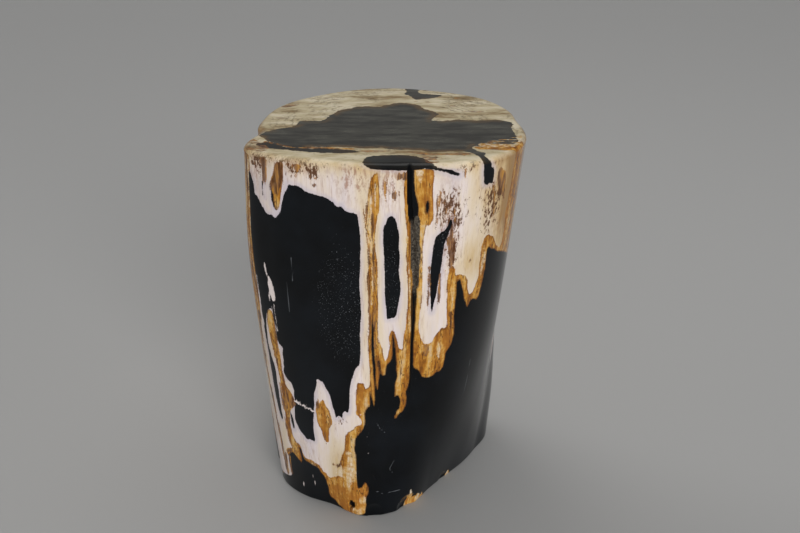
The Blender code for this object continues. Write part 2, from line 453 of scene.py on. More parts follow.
# The field at the right, up its ragged left edge, over its tongues and on round the hidden right side.
FOOT_RIGHT = (
    (-28, -10), (-28, 5), (-27, 12), (-26, 17), (-27, 22), (-26, 28), (-24, 33), (-23.5, 39), (-24, 44),
    (-25.5, 48), (-27, 49.5), (-29, 47), (-31, 43), (-34, 41), (-37, 41), (-38, 52), (-38.5, 70),
    (-38.5, 85), (-40, 94), (-39.5, 100), (-38.5, 107), (-36, 112), (-33, 116), (-30, 120), (-27, 125),
    (-25.5, 130), (-25, 136), (-25.5, 143), (-24, 148), (-22, 152), (-19.5, 155), (-19.3, 165), (-19, 173),
    (-18, 170), (-16.5, 162), (-15, 155), (-14, 153), (-13.2, 160), (-13, 172), (-13.5, 183), (-14, 190),
    (-14.5, 200), (-15.5, 212), (-16, 225), (-16.5, 235), (-15.7, 247), (-15, 258), (-14, 268),
    (-13.5, 277), (-13, 268), (-13, 258), (-13.5, 247), (-13.5, 235), (-13, 220), (-12.5, 205), (-12, 195),
    (-11.7, 185), (-11.3, 180), (-10.5, 176), (-9.5, 176.5), (-9, 182), (-8, 190), (-7, 198), (-8, 205),
    (-8.7, 211), (-8, 214), (-6.5, 208), (-5.5, 201), (-4.5, 195), (-2, 194), (-0.5, 194.5), (0, 198),
    (0.5, 205), (2, 209), (5, 212), (7, 216), (8, 222), (8.5, 230), (8.3, 240), (9, 246), (10, 240),
    (11.5, 230), (12, 220), (12.5, 210), (12.5, 200), (13.5, 193), (12, 188), (11, 183), (10.8, 175),
    (10.5, 167), (12, 166), (14, 168), (15.5, 165), (17, 161), (17, 155), (16, 150), (13, 147), (11.5, 142),
    (10, 139), (11, 136), (13, 137), (15, 142), (17, 144), (20, 145), (22, 149), (24, 153), (25, 158),
    (25, 165), (24.5, 170), (25, 174), (27, 178), (29, 185), (29.5, 192), (29, 205), (29.3, 220),
    (29.5, 235), (30.5, 250), (31, 265), (31.5, 280), (31, 297), (31.2, 303), (32.5, 297), (33.5, 288),
    (33.5, 275), (33.5, 262), (32.5, 250), (32, 235), (32, 220), (32, 208), (33, 203), (36, 200), (39, 198),
    (41.5, 195), (42.5, 191), (45, 188), (50, 186.5), (55, 186), (59, 188), (61, 190), (64, 191), (67, 190),
    (70, 193), (72, 197), (73, 202), (74, 208), (74, 213), (76, 216), (79, 220), (81, 225), (82, 230),
    (83, 240), (82.5, 252), (81.5, 260), (81.5, 283), (81, 297), (81, 303), (82, 305), (84, 304.5),
    (86, 303), (87.5, 297), (89.5, 291), (91, 284), (93, 277), (96, 271.5), (98, 267.5), (100.5, 265),
    (101, 269), (103, 273), (106, 274.5), (110, 273), (113, 272), (116, 274), (117, 279), (118, 285),
    (119, 292), (120, 300), (121, 307), (121, 315), (120.3, 325), (120, 333), (124, 333), (127, 330),
    (131, 328.5), (136, 325.5), (140, 322.5), (145, 320.5), (150, 318.5), (158, 315), (168, 310),
    (180, 304), (190, 298), (204, 250), (214, 200), (220, 150), (222, -10),
)
SLIM_LENS = (
    (7, 384.5), (10, 383), (12, 378), (13.5, 374), (14.5, 368), (15, 360), (15, 350), (16, 340),
    (16.2, 330), (15.5, 322), (16.3, 308), (16.7, 298), (16, 290), (14.5, 280), (13, 273), (11.5, 267),
    (10, 266.3), (5, 265.8), (2, 265.2), (1, 272), (0.3, 280), (-0.3, 290), (-0.7, 305), (-1, 325),
    (-1.3, 342), (-2, 350), (-2.3, 357), (-2, 365), (-1.5, 371), (0.5, 376), (2.5, 380), (4, 383),
)
DARK_SLIVER = (
    (57, 362), (54, 359), (52.5, 352), (51.6, 344), (50.6, 333), (49.8, 318), (49.6, 305), (50.6, 292),
    (51.6, 280), (53, 269.5), (54.5, 276), (56, 284), (57.5, 293), (58.5, 303), (60, 314), (61.5, 326),
    (62.5, 338), (64, 350), (66.5, 358), (69, 366), (70.8, 373), (69.5, 379), (67, 373), (64.5, 368),
    (61, 365),
)
SHORT_SLIT = ((43.5, 399), (46, 399), (46, 392), (45, 386.5), (43.5, 386), (42.8, 390))
LOW_SLIT = ((-127.5, 122), (-125.5, 120), (-124.6, 110), (-124.6, 101), (-127, 99), (-128.3, 108))
CRACK_BLACK = (
    (24.5, 438), (24.6, 425), (25, 414), (26, 402), (27, 388), (27.8, 377), (29.5, 372), (32, 376),
    (34.5, 382), (35.4, 390), (34.5, 400), (32, 408), (30.6, 420), (30, 438),
)
RIM_BLOT = (
    (97, 452), (100.5, 436), (101.5, 432), (102, 425), (103, 418), (104, 413), (106, 410.5), (111, 411.5),
    (114, 410), (115.5, 413), (115.5, 418), (115, 424), (113.5, 428), (111, 430.5), (111, 434), (110, 437),
    (107, 452),
)
RIM_OVAL = (
    (-21, 452), (-20, 440), (-14, 437), (-6, 435.5), (4, 434.5), (16, 433.5), (28, 434), (36, 435.5),
    (43, 438), (48, 441), (50, 452),
)
# Invented in the same manner for the side that the front hides: long lenses of unlike size, and a
# tongue below the seat's mark at the back.
BACK_LENSES = (
    ((268, 208), (272, 240), (279, 268), (286, 300), (290, 330), (295, 352), (301, 361), (306, 352), (308, 330),
     (306, 296), (301, 262), (296, 236), (290, 214), (284, 200), (276, 196)),
    ((404, 286), (407, 318), (413, 352), (421, 378), (432, 391), (441, 386), (446, 366), (449, 338), (446, 306),
     (438, 282), (433, 258), (428, 236), (421, 228), (415, 240), (409, 262)),
    ((-322, 300), (-320, 330), (-316, 352), (-311, 366), (-307, 356), (-306, 332), (-309, 306), (-314, 284),
     (-318, 282)),
    ((444, 452), (446, 430), (449, 412), (453, 396), (456, 384), (459, 396), (462, 408), (466, 424), (471, 436),
     (472, 452)),
)
FRONT_BLACK = (
    TALL_FLAME, FOOT_LEFT, FOOT_RIGHT, SLIM_LENS, DARK_SLIVER, SHORT_SLIT, LOW_SLIT, CRACK_BLACK, RIM_BLOT, RIM_OVAL,
)
BLACK_LINES = (
    (1.1, (-120.2, 404), (-120.6, 393), (-119, 385), (-116.8, 381.5)),
    (3.0, (46, 438), (52, 436.5), (57, 435.5)),
    (2.3, (57, 435.5), (63, 432.6), (67, 431)),
    (1.8, (66, 431), (71, 429), (76, 427)),
    (0.9, (-131.5, 409), (-132.5, 400), (-131, 393)),
)
print("black outlines on the front:", len(FRONT_BLACK))

# %% [markdown]
# Round the hidden sides, the black field goes on with an invented edge. Its height falls slowly from the
# right side to the left. Narrow spires of black rise from it along the grain, and narrow tongues of pale
# stone hang down into it, each with the cusp shape of a curve that dies away on both sides of its tip.

# %% The black field's edge round the back
# The edge's own height at a few places, with u counted on past the back.
CURTAIN_KNOTS = (
    (196, 300), (215, 262), (235, 214), (256, 176), (300, 138), (350, 112), (400, 96), (460, 78), (520, 66),
    (580, 52), (640, 40), (700, 26), (760, 14), (804, 12),
)
# Each spire: u of its tip, half width where it has lost two thirds, and height, negative where it hangs
# down.
SPIRES = (
    (208, 4, 30), (234, 6, 128), (243, 3.5, 60), (262, 7, -55), (281, 5, 40), (316, 6, 150),
    (325, 3.5, 85), (341, 7, -50), (360, 4.5, 96), (381, 6, -30), (399, 4, 60), (452, 5.5, 150), (462, 4, 74),
    (480, 6, -34), (503, 8, 226), (514, 4, 90), (534, 5, -24), (556, 4.5, 120), (571, 6.5, -26), (596, 6, 196),
    (606, 3.5, 84), (628, 5, -18), (648, 4, 66), (676, 5, 140), (683, 3, 52), (712, 4, 48), (742, 3.5, 90),
    (768, 4, 30),
)


def curtain_depth():
    """Depth below the curtain's edge in mm. The edge is a smooth line through the knots plus, for each
    spire, its height times e to the minus distance over half width, and u sways with the height. The
    drop to the edge is divided by the length of the edge's own slope, which turns it into a distance
    across."""
    start, end = CURTAIN_KNOTS[0][0], CURTAIN_KNOTS[-1][0]
    u = (grid_u - start) % (2 * HALF_ROUND) + start
    u = u + 4 * np.sin(grid_z / 31 + u / 70) + 1.5 * np.sin(grid_z / 11 + u / 17)
    knots = np.array(CURTAIN_KNOTS, float)
    edge = np.interp(u, *knots.T)
    slope = np.zeros(len(u))
    for tip, half_width, height in SPIRES:
        side = u - tip
        spire = height * np.exp(-np.abs(side) / half_width)
        edge = edge + spire
        slope = slope - np.sign(side) * spire / half_width
    depth = (edge - grid_z) / np.sqrt(1 + slope**2)
    return np.where(u < end, np.clip(depth, -REACH, REACH), -REACH)


curtain = curtain_depth()
print("share below the hidden edge:", round(float((curtain > 0).mean()), 3))

# %% [markdown]
# The seat. The saw cut across the log shows its rings: a dark heart, a paler sapwood round it, and dark
# marks where cracks let the black in. These outlines are in plan, x to the right and y to the back, in mm.

# %% Black on the seat
DARK_HEART = (
    (-141, -46), (-130, -36), (-122, -30), (-115, -25), (-105, -18), (-100, -10), (-99, -3), (-97, 2),
    (-92, 4), (-75, 3), (-71, 8), (-68, 14), (-66, 22), (-62, 30), (-59, 38), (-57, 45), (-53, 49),
    (-46, 53), (-40, 57), (-34, 62), (-27, 64), (-8, 63.5), (-3, 68), (4, 72), (9, 77), (15, 79), (22, 78),
    (30, 74), (36, 70), (40, 64), (43, 55), (49, 48), (54, 42), (58, 36), (59, 28), (56, 20), (53, 13),
    (51, 6), (55, 4), (70, 6), (82, 10), (88, 8), (95, 7), (102, 4), (118, 8), (126, 8), (133, 5), (139, 0),
    (142, -8), (140, -25), (141, -52), (142, -64), (138, -82), (120, -83), (110, -90), (100, -92),
    (94, -88), (92, -95), (95, -104), (102, -110), (106, -114), (103, -120), (104, -128), (108, -135),
    (109, -155), (100, -155), (100, -140), (99, -130), (96, -122), (92, -115), (85, -108), (70, -107),
    (50, -110), (43, -108), (35, -103), (6, -100), (-5, -95), (-25, -97), (-35, -93), (-52, -92),
    (-75, -92), (-95, -92), (-105, -87), (-115, -80), (-125, -72), (-132, -60),
)
FRONT_LEFT_BAND = (
    (-136, -80), (-128, -75.5), (-120, -80), (-112, -86), (-102, -92.5), (-90, -96.5), (-60, -97.5),
    (-45, -100), (-35, -103), (-24, -107), (-32, -110), (-45, -113), (-60, -112), (-75, -110), (-90, -106),
    (-105, -101), (-120, -96), (-130, -92), (-136, -87),
)
SEAT_OVAL = (
    (-22, -146), (-21, -131), (-16, -124), (-8, -120.5), (8, -119), (24, -119.5), (33, -123), (40, -130),
    (46, -140), (49, -150), (44, -168), (-16, -168),
)
BACK_RIM_MARK = (
    (14, 165), (22, 143), (42, 165), (42, 140), (38, 135), (39, 125), (42, 120), (50, 117), (60, 116),
    (68, 113), (63, 106), (58, 100), (45, 96), (37, 93), (33, 95), (30, 103), (26, 112), (22, 118),
    (23, 127), (22, 137),
)
SEAT_BLACK = (DARK_HEART, FRONT_LEFT_BAND, SEAT_OVAL, BACK_RIM_MARK)
# These two are as deep a black as the side, and the rest of the seat's black is browner.
SEAT_DEEP = (FRONT_LEFT_BAND, SEAT_OVAL)

hidden_black = np.maximum(depth_on_side(BACK_LENSES), curtain)
side_black = np.maximum(depth_on_side(FRONT_BLACK, BLACK_LINES), hidden_black)
black = over_the_rim(side_black, depth_on_seat(SEAT_BLACK))
deep = depth_on_seat(SEAT_DEEP)
print("share of the surface that is black:", round(float((black > 0).mean()), 3))

# %% [markdown]
# Ochre and brown. Iron in the water stained the stone along the edges of the black: broad ochre bands with
# darker streaks in them, and brown veins and flecks. The ochre lies under the black, so an ochre outline
# may run under a black one, and the black cuts it to shape.

# %% Ochre bands and tongues
DOUBLE_BAND = (
    (-10, 431), (-14, 425), (-16, 419), (-17, 412), (-18, 405), (-18.5, 395), (-19.5, 385), (-21, 377),
    (-21.5, 371), (-20, 367), (-19, 362), (-18, 355), (-17.5, 345), (-17.5, 335), (-18.5, 325),
    (-19.3, 310), (-19.5, 297), (-18.3, 288), (-17.5, 280), (-18, 268), (-19, 252), (-20, 240), (-20, 225),
    (-19.3, 208), (-18.8, 195), (-19.5, 184), (-16, 178), (-12, 172), (-8, 174), (-6, 195), (-7, 215),
    (-8, 235), (-8.5, 250), (-8.5, 262), (-8, 280), (-8, 300), (-8.5, 320), (-8.5, 337), (-10, 347),
    (-11, 360), (-10, 370), (-9, 377), (-7, 384), (-5.5, 392), (-5, 402), (-5.5, 415), (-6.5, 426),
    (-8, 431),
)
FOOT_PATCH = (
    (-34, 183), (-27, 183.5), (-26, 180), (-24.5, 177), (-22, 177), (-20, 180), (-17, 183), (-15, 185),
    (-12, 180), (-12, 150), (-20, 140), (-22, 120), (-35, 100), (-35, 55), (-28, 55), (-20, 45), (-22, 0),
    (-25, -10), (-72, -10), (-90, 4), (-90, 30), (-88, 47), (-80, 42), (-76, 44), (-70, 47), (-66, 50),
    (-60, 51), (-58, 62), (-62, 70), (-59, 77), (-57, 83), (-55, 88), (-53, 93), (-52.5, 100), (-52, 108),
    (-50, 113), (-47, 117), (-42, 120), (-38, 125), (-34, 126.5), (-31, 129), (-30.5, 133), (-32, 137),
    (-35, 140), (-37, 143), (-36, 150), (-36.3, 160), (-36, 172), (-34.5, 178),
)
FLAME_DIAMOND = (
    (-78, 155), (-76, 150), (-74, 146), (-71, 141), (-70, 134), (-68, 126), (-70, 121), (-72, 118),
    (-74, 108), (-75, 102), (-76, 96), (-79, 94.5), (-82, 99), (-84, 105), (-85, 112), (-87.5, 116),
    (-89, 124), (-89, 136), (-88, 143), (-87, 148), (-84, 148), (-81, 152),
)
THIRD_LOBE = (
    (-8.5, 240), (-6, 234), (-4, 230), (-3, 222), (-1.5, 215), (0, 214), (2, 219), (4, 226), (5, 233),
    (4.3, 240), (5, 246), (7, 250), (8.7, 251.5), (10.5, 250), (12, 246), (13, 240), (14, 233), (15.5, 229),
    (20, 227), (26, 226), (32, 200), (26, 160), (20, 124), (5, 127), (0, 180), (-10, 170), (-12, 200),
)
CREVICE_LEFT = (
    (22, 430), (21, 420), (20.5, 410), (21.2, 402), (21.2, 392), (21.7, 383), (22.8, 374), (24.3, 366),
    (24.4, 357), (23, 345), (23, 335), (23.4, 329), (23, 322), (24, 314), (25, 300), (25, 284), (24.3, 271),
    (23.5, 261), (22.3, 249), (21.3, 241), (20, 227), (26, 180), (31, 200), (32, 260), (31, 320), (29, 360),
    (28, 400), (27, 431),
)
BIG_LOBE = (
    (28, 438), (39, 439), (48, 438), (51, 430), (50, 410), (50.7, 395), (51, 381), (49, 375.5),
    (47.5, 372.5), (45.5, 373.5), (44, 372), (43, 366), (42, 358), (41.5, 345), (41, 330), (41, 315),
    (41.3, 303), (41, 292), (40.3, 280), (39, 270), (38.5, 258), (39, 248), (41, 239), (44, 232.5),
    (48, 231), (52, 231), (55, 233.5), (57.5, 238), (60, 242), (63, 245), (66, 249), (68, 247.5), (70, 246),
    (72, 247), (72.5, 255), (71.3, 263), (70.3, 275), (70, 290), (69.3, 302), (69, 309), (69.7, 315),
    (71.5, 321), (74, 323.5), (77, 319.5), (78.5, 313), (80, 310.5), (84, 311), (88, 309.5), (92, 307),
    (94.5, 302), (96, 293), (98, 286), (100, 282), (103, 283), (106, 286), (108, 292), (110.5, 298),
    (111, 306), (110.5, 315), (110, 335), (111, 343), (114, 349), (118, 350), (122, 348), (127, 345),
    (131, 338), (135, 332), (140, 328.5), (146, 326), (148, 335), (149, 350), (146, 362), (146, 370),
    (148, 385), (149, 400), (150, 420), (152, 440), (168, 440), (176, 424), (173, 402), (179, 376),
    (187, 352), (184, 334), (192, 316), (199, 300), (204, 270), (200, 180), (150, 150), (90, 150),
    (40, 150), (28, 170), (30, 240), (31, 320), (32, 380),
)
LEFT_BAND = (
    (-138.5, 256), (-141.5, 245), (-142.5, 235), (-141.5, 222), (-139, 205), (-137, 190), (-136.5, 175),
    (-136, 160), (-136, 145), (-137.5, 125), (-139.5, 104), (-140.2, 86), (-138, 72), (-131, 58),
    (-124, 54), (-118, 58), (-117, 66), (-123.5, 76), (-129.5, 86), (-131, 100), (-129, 119), (-124, 129),
    (-119, 134), (-117, 142), (-119.7, 151), (-125.5, 158), (-128, 167), (-129, 183), (-129, 200),
    (-130, 216), (-130.5, 229), (-131, 244), (-133, 257),
)
TONGUE_STAIN = (
    (-114.6, 434), (-111, 436), (-107.8, 435), (-107.7, 422), (-109.5, 406), (-111.6, 392), (-113.4, 383),
    (-116.9, 380), (-120.1, 387), (-120.4, 396), (-120.7, 404), (-122.2, 409), (-118.5, 422),
)
FOOT_FRINGE = (
    (-150, 57), (-146, 62), (-138, 66), (-130, 66), (-126, 70), (-124, 80), (-121, 78), (-117, 66),
    (-112, 61), (-104, 61), (-100, 58), (-94, 57), (-90, 50), (-84, 46), (-84, 38), (-90, 40), (-100, 48),
    (-120, 48), (-135, 55), (-145, 50),
)
LEFT_EDGE_BAND = (
    (-149.5, 440), (-149.5, 300), (-150.5, 262), (-153, 240), (-158, 215), (-163, 190), (-170, 168),
    (-176, 200), (-173, 300), (-170, 442),
)
FRONT_OCHRE = (
    DOUBLE_BAND, FOOT_PATCH, FLAME_DIAMOND, THIRD_LOBE, CREVICE_LEFT, BIG_LOBE, LEFT_BAND, TONGUE_STAIN,
    FOOT_FRINGE, LEFT_EDGE_BAND,
)
# Invented bands for the hidden sides.
HIDDEN_OCHRE = (
    ((-272, 440), (-262, 440), (-258, 400), (-256, 350), (-259, 300), (-264, 262), (-268, 250), (-270, 275),
     (-268, 320), (-271, 370), (-270, 410)),
    ((-247, 330), (-244, 290), (-245, 240), (-249, 200), (-252, 215), (-251, 260), (-252, 300)),
    ((-363, 440), (-352, 440), (-349, 420), (-351, 390), (-356, 372), (-360, 395), (-361, 425)),
    ((-402, 300), (-398, 262), (-399, 215), (-404, 180), (-408, 205), (-407, 250), (-408, 285)),
    ((330, 440), (334, 420), (333, 380), (336, 345), (341, 325), (345, 350), (344, 390), (347, 425), (350, 440)),
    ((236, 440), (240, 400), (239, 360), (243, 322), (248, 300), (252, 330), (250, 372), (254, 410), (256, 440)),
)
SEAT_OCHRE_STREAK = (
    (107, -66), (115, -64), (125, -67), (133, -68), (137, -72), (128, -77), (118, -74), (110, -71),
)
SEAT_OCHRE_ZONE = (
    (95, -90), (105, -92), (118, -92), (130, -87), (140, -85), (146, -60), (150, -40), (156, -60),
    (150, -90), (140, -100), (128, -105), (115, -100), (100, -100), (95, -97),
)
SEAT_EDGE_LINE = (2.6, (-128, -74), (-116, -81), (-106, -88), (-95, -93.5), (-75, -95), (-52, -96), (-34, -99))
SEAT_LOBE_LINE = (2.2, (108, -71), (120, -72), (132, -76), (142, -76))
SEAT_UPPER_LINE = (1.2, (112, -58), (126, -60), (141, -56))
print("ochre outlines:", len(FRONT_OCHRE), "in view and", len(HIDDEN_OCHRE), "hidden")

# %% [markdown]
# Round the hidden sides, the black's ochre border needs no outline of its own. It is the black's depth plus
# a width that sways along the edge, so in places there is a broad border and in places none.

# %% Ochre borders of the hidden black
BORDER_LEAST, BORDER_SWAY = -1.5, 9.0
border_turn = grid_u / 19 + 1.4 * np.sin(grid_z / 33 + grid_u / 47) + grid_z / 71
border = BORDER_LEAST + BORDER_SWAY * np.sin(border_turn) ** 2
hidden_border = hidden_black + border
seat_lines = (SEAT_EDGE_LINE, SEAT_LOBE_LINE, SEAT_UPPER_LINE)
ochre_on_seat = depth_on_seat((SEAT_OCHRE_STREAK, SEAT_OCHRE_ZONE), seat_lines)
ochre = over_the_rim(np.maximum(depth_on_side(FRONT_OCHRE + HIDDEN_OCHRE), hidden_border), ochre_on_seat)
print("share of the surface that is ochre:", round(float(((ochre > 0) & (black < 0)).mean()), 3))

# %% [markdown]
# Brown. The brown marks are drawn one by one where they show: veins as lines with a width,
# patches as outlines and single flecks as oval spots.

# %% Brown veins, patches and flecks
BROWN_OUTLINES = (
    ((-134, 437), (-133, 424), (-131.5, 412), (-129.8, 403), (-127.6, 410), (-125.6, 424), (-124, 437)),
    ((-115, 434), (-108, 436), (-108, 424), (-110, 410), (-113, 402), (-116.5, 396), (-120, 400), (-122, 408),
     (-119, 418), (-117, 427)),
    ((-130, 153), (-124, 156), (-121, 151), (-116.7, 143), (-118, 136), (-126, 129), (-135, 124), (-134, 140)),
    ((122, 424), (127, 426), (130, 422), (133, 418), (135, 410), (135.5, 400), (136, 392), (140, 385), (137, 387),
     (133, 391), (130, 393), (127, 392), (125, 398), (123, 404), (121.5, 410)),
    ((14, 424), (22, 424), (22, 431), (15, 430)),
    ((44, 229), (46, 217), (49, 216), (52, 223), (51, 230)),
    ((66.5, 354), (69, 363), (71, 371), (73, 358), (75.3, 346), (75.5, 332), (73, 321), (70.5, 325), (69, 338)),
)
BROWN_LINES = (
    (1.4, (-77, 66), (-72, 65), (-66, 63), (-62, 67), (-58, 72)),
    (1.0, (115, 408), (118, 402), (120, 395), (119.5, 388), (121, 380), (123, 376), (121.5, 372)),
    (0.6, (56, 411), (58, 408), (57, 404)),
    (0.6, (58.5, 409), (61, 410), (61.5, 406)),
    (0.6, (57, 400), (60, 402), (59, 398)),
    (0.5, (60, 396), (62, 398), (61, 392)),
    (0.6, (66, 390), (68, 393), (70, 390), (72, 392)),
    (0.6, (71, 386), (74, 388), (75.5, 384), (75.2, 378), (74.5, 373)),
    (0.6, (66, 384), (68, 387), (69, 382)),
    (0.5, (62, 388), (63.5, 390), (64, 385)),
    (0.6, (69, 379), (70, 383)),
    (0.8, (54.6, 407), (54.8, 395), (54.6, 384), (55.4, 368)),
    (1.8, (-150.5, 53), (-152.5, 37), (-153, 22)),
    (1.3, (-143.5, 52), (-144.5, 40), (-144, 26)),
    (1.0, (-150, 56), (-141, 62), (-133, 63), (-127, 60)),
    (1.2, (-118, 64), (-113, 60), (-103, 57), (-95, 53), (-90, 47), (-87, 40)),
    (1.0, (-124, 76), (-126, 66)),
    (1.3, (-136.5, 160), (-137.8, 125), (-139.6, 104), (-139.6, 86), (-135.5, 70), (-128, 59)),
    (1.0, (-131.5, 150), (-132, 118), (-132, 100), (-130.6, 86), (-124.5, 74)),
    (0.8, (-139.5, 225), (-136.8, 195), (-134, 165)),
    (0.8, (-134, 240), (-132.5, 215), (-131.2, 185), (-130.5, 160)),
    (2.8, (-156, 245), (-161, 203), (-162.5, 159), (-161, 133), (-160, 95), (-158, 56), (-156, 31), (-155, 23)),
    (1.3, (-154, 430), (-153.5, 330), (-153, 240)),
    (1.3, (-12, 420), (-12.4, 395), (-14, 365), (-11.6, 345), (-11.6, 283), (-12, 230)),
    (1.1, (-19.5, 400), (-20.4, 372), (-17.6, 350), (-18.6, 310), (-17.6, 288), (-19, 240)),
    (1.0, (77, 265), (77, 250), (77, 235)),
    (0.9, (48, 325), (48.5, 300), (48, 272)),
    (0.9, (60.5, 315), (60.5, 280)),
)
BROWN_SPOTS = (
    (-137, 416, 1.2, 1.6), (-129, 391, 1.0, 1.4), (-143, 427, 3, 2.4), (-102, 434, 2, 4), (-94, 432, 3.4, 5),
    (-95, 422, 1, 1.4), (-100, 420, 1, 1.4), (-82, 437, 1.2, 1.2), (-75, 434, 1, 1.4), (-75, 413, 2, 2),
    (-79, 422, 0.9, 1.2), (-74, 421, 0.9, 1.2), (1.5, 414, 1.6, 9), (10, 406, 2.4, 6), (14, 408, 1.6, 3),
    (113, 374, 1, 1.4), (116, 364, 2.4, 3), (123, 364, 1.2, 1.6), (132, 360, 1.4, 3), (130, 378, 1, 1.4),
    (95.5, 325, 1, 1.6), (84, 336, 1, 1.2), (84, 331, 1, 1.2), (88, 319, 1, 1.2), (82, 430, 1, 4),
    (66, 318, 0.8, 1.4), (-86, 146, 1.4, 5), (-72, 128, 1.2, 6), (-80, 100, 1, 4),
)
brown = over_the_rim(
    depth_on_side(BROWN_OUTLINES, BROWN_LINES, BROWN_SPOTS),
    depth_on_seat(
        (
            ((38, -120), (46, -117), (50, -121), (55, -124), (52, -132), (56, -139), (51, -150), (44, -156),
             (42, -140)),
            ((-152, -60), (-142, -64), (-130, -82), (-122, -96), (-128, -107), (-142, -104), (-158, -90)),
            ((-28, -106), (-12, -103), (12, -104), (32, -107), (52, -113), (78, -111), (92, -115), (74, -119),
             (46, -118), (24, -112), (4, -109), (-14, -111)),
            ((-128, 60), (-118, 70), (-106, 75), (-104, 70), (-112, 62), (-120, 58)),
        ),
        (),
        (
            (100, 41, 14, 3), (78, 65, 4, 3), (85, 100, 4, 3), (-118, 15, 10, 2), (35, 85, 3, 2),
            (48, 83, 3, 2), (-2, 97, 7, 2), (58, -128, 1.2, 1.2), (70, -120, 1, 1), (82, -122, 1, 1),
            (66, -135, 1, 1),
        ),
    ),
)
print("share of the surface that is brown:", round(float((brown > 0).mean()), 3))

# %% [markdown]
# Grey and light. In the front crevice the stone did not close: it is rough with small grey crystals and
# takes no polish. Healed cracks show as thin pale lines across the black, and use has left a few faint
# scratches on it. One small pale spot on the black is a painted highlight.

# %% Grey rough places, and pale lines on the black
GREY_OUTLINES = (
    ((29.5, 380), (28.3, 371), (28.5, 350), (28, 335), (28, 325), (30, 315), (31, 308), (31, 300), (34.5, 286),
     (36, 295), (37, 310), (37.5, 325), (38, 340), (37.6, 360), (37.6, 380), (33, 384)),
)
PALE_OUTLINES = (
    ((-135, 316), (-134, 310), (-133.5, 303), (-131.5, 300), (-129.5, 298), (-128, 295), (-127, 290), (-126.5, 283),
     (-125.5, 277), (-126, 271), (-127.5, 270), (-130, 271), (-131.5, 277), (-133, 284), (-133.5, 292),
     (-132.5, 297), (-134.5, 301), (-136, 308), (-136, 314)),
)
PALE_LINES = (
    (1.2, (-117, 142.5), (-110, 140.5), (-104, 139), (-98, 137), (-91, 134.5)),
    (0.5, (-114, 145), (-112.5, 139.5)),
    (0.5, (-109.5, 145), (-107.5, 137)),
    (0.5, (-105, 142.5), (-103.5, 135.5)),
    (0.5, (-101, 142), (-99, 133.5)),
    (0.4, (-96, 139), (-94, 132.5)),
    (0.5, (-133.7, 278), (-133.8, 269)),
    (0.5, (-132.5, 264), (-132.2, 256)),
    (0.7, (-149, 296), (-149.2, 262), (-149, 232)),
    (0.7, (-128, 266), (-128, 232)),
)
# Pale spots. The one at u 84.5, z 280, a white dot in the black notch between two ochre tongues, is a painted
# highlight.
PALE_SPOTS_AND_GLINT = (
    (-106, 37, 0.8, 2), (-104, 27, 0.8, 3), (-124, 19, 0.8, 3), (84.5, 280, 1.4, 1.2), (-31, 141.5, 1.0, 1.2),
    (-24, 113, 0.8, 0.8), (-23, 89, 0.8, 0.8), (-21, 79, 0.7, 0.7),
)
SCRATCHES = (
    (0.9, (-15, 37), (-8, 34), (-4, 31), (0, 30), (5, 33), (19, 32)),
    (0.8, (4, 66), (11, 79)),
    (0.8, (4, 66), (9, 60)),
    (0.8, (-11, 131), (-8, 124), (-5, 121.5), (0, 117)),
    (0.7, (-103, 330), (-102, 312), (-103, 300)),
    (0.7, (-110, 300), (-109, 262)),
    (0.7, (-18, 60), (-14, 52)),
    (0.7, (120, 190), (122, 160), (121, 120)),
)
grey = over_the_rim(depth_on_side(GREY_OUTLINES), depth_on_seat())
# The pale depth holds healed cracks, pale spots and one painted highlight.
pale = over_the_rim(depth_on_side(PALE_OUTLINES, PALE_LINES, PALE_SPOTS_AND_GLINT), depth_on_seat())
scratched = over_the_rim(depth_on_side((), SCRATCHES), depth_on_seat())
print("grey and pale shares:", round(float((grey > 0).mean()), 4), round(float((pale > 0).mean()), 4))

# %% [markdown]
# Pale cream shows through the ochre in patches and thin lines, along the old grain. At the foot's right
# edge, rust has broken through the black where the edge chipped.

# %% Cream in the ochre, and rust on the black
CREAM_OUTLINES = (
    ((-54, 88), (-44, 88), (-42, 80), (-41, 68), (-38, 60), (-41, 50), (-46, 42), (-52, 36), (-58, 38), (-57, 48),
     (-66, 50), (-70, 56), (-66, 64), (-56, 64), (-50, 70), (-50, 80)),
    ((-35.3, 27), (-31, 29), (-28.4, 28.5), (-26.2, 23), (-29.8, 18), (-35.4, 20)),
    ((-46, 8), (-40, 10), (-34, 9), (-34.5, 3), (-44, 0)),
    ((112, 336), (116, 338), (118, 318), (116, 300), (113, 303), (113.5, 320)),
    ((61.6, 230), (64.2, 229), (65, 216), (63.4, 208), (61.8, 215)),
    ((43, 230), (54, 230), (52, 222), (46, 220)),
    ((33, 434), (40, 434), (40, 426), (37, 421), (34, 424)),
)
CREAM_LINES = (
    (1.5, (-13.5, 415), (-14, 390), (-16, 362), (-14.6, 345), (-14, 320), (-14.6, 283)),
    (0.9, (-10, 418), (-10.5, 392)),
    (0.6, (75.5, 297), (77.5, 268)),
    (0.7, (-78, 134), (-70, 132)),
    (1.0, (24, 360), (25.6, 330), (27.5, 300), (28, 280), (27.5, 250)),
    (0.5, (-130, 434), (-129.5, 418)),
    (0.5, (-112, 432), (-116, 415), (-119, 405)),
    (0.4, (-110.5, 425), (-114, 410)),
    (1.8, (-152, 440), (-152, 380), (-152.5, 320), (-154, 262), (-158, 222)),
    (0.9, (-157, 432), (-157.5, 360), (-158, 290)),
)
RUST_OUTLINES = (
    ((33, -5), (34, 10), (34.5, 22), (36.5, 26), (40, 20), (43, 12), (46.4, 11), (50, 14), (54, 12), (58, 6), (62, 9),
     (66, 4), (72, -5)),
    ((140, -5), (144, 5), (150, 8), (156, -5)),
)
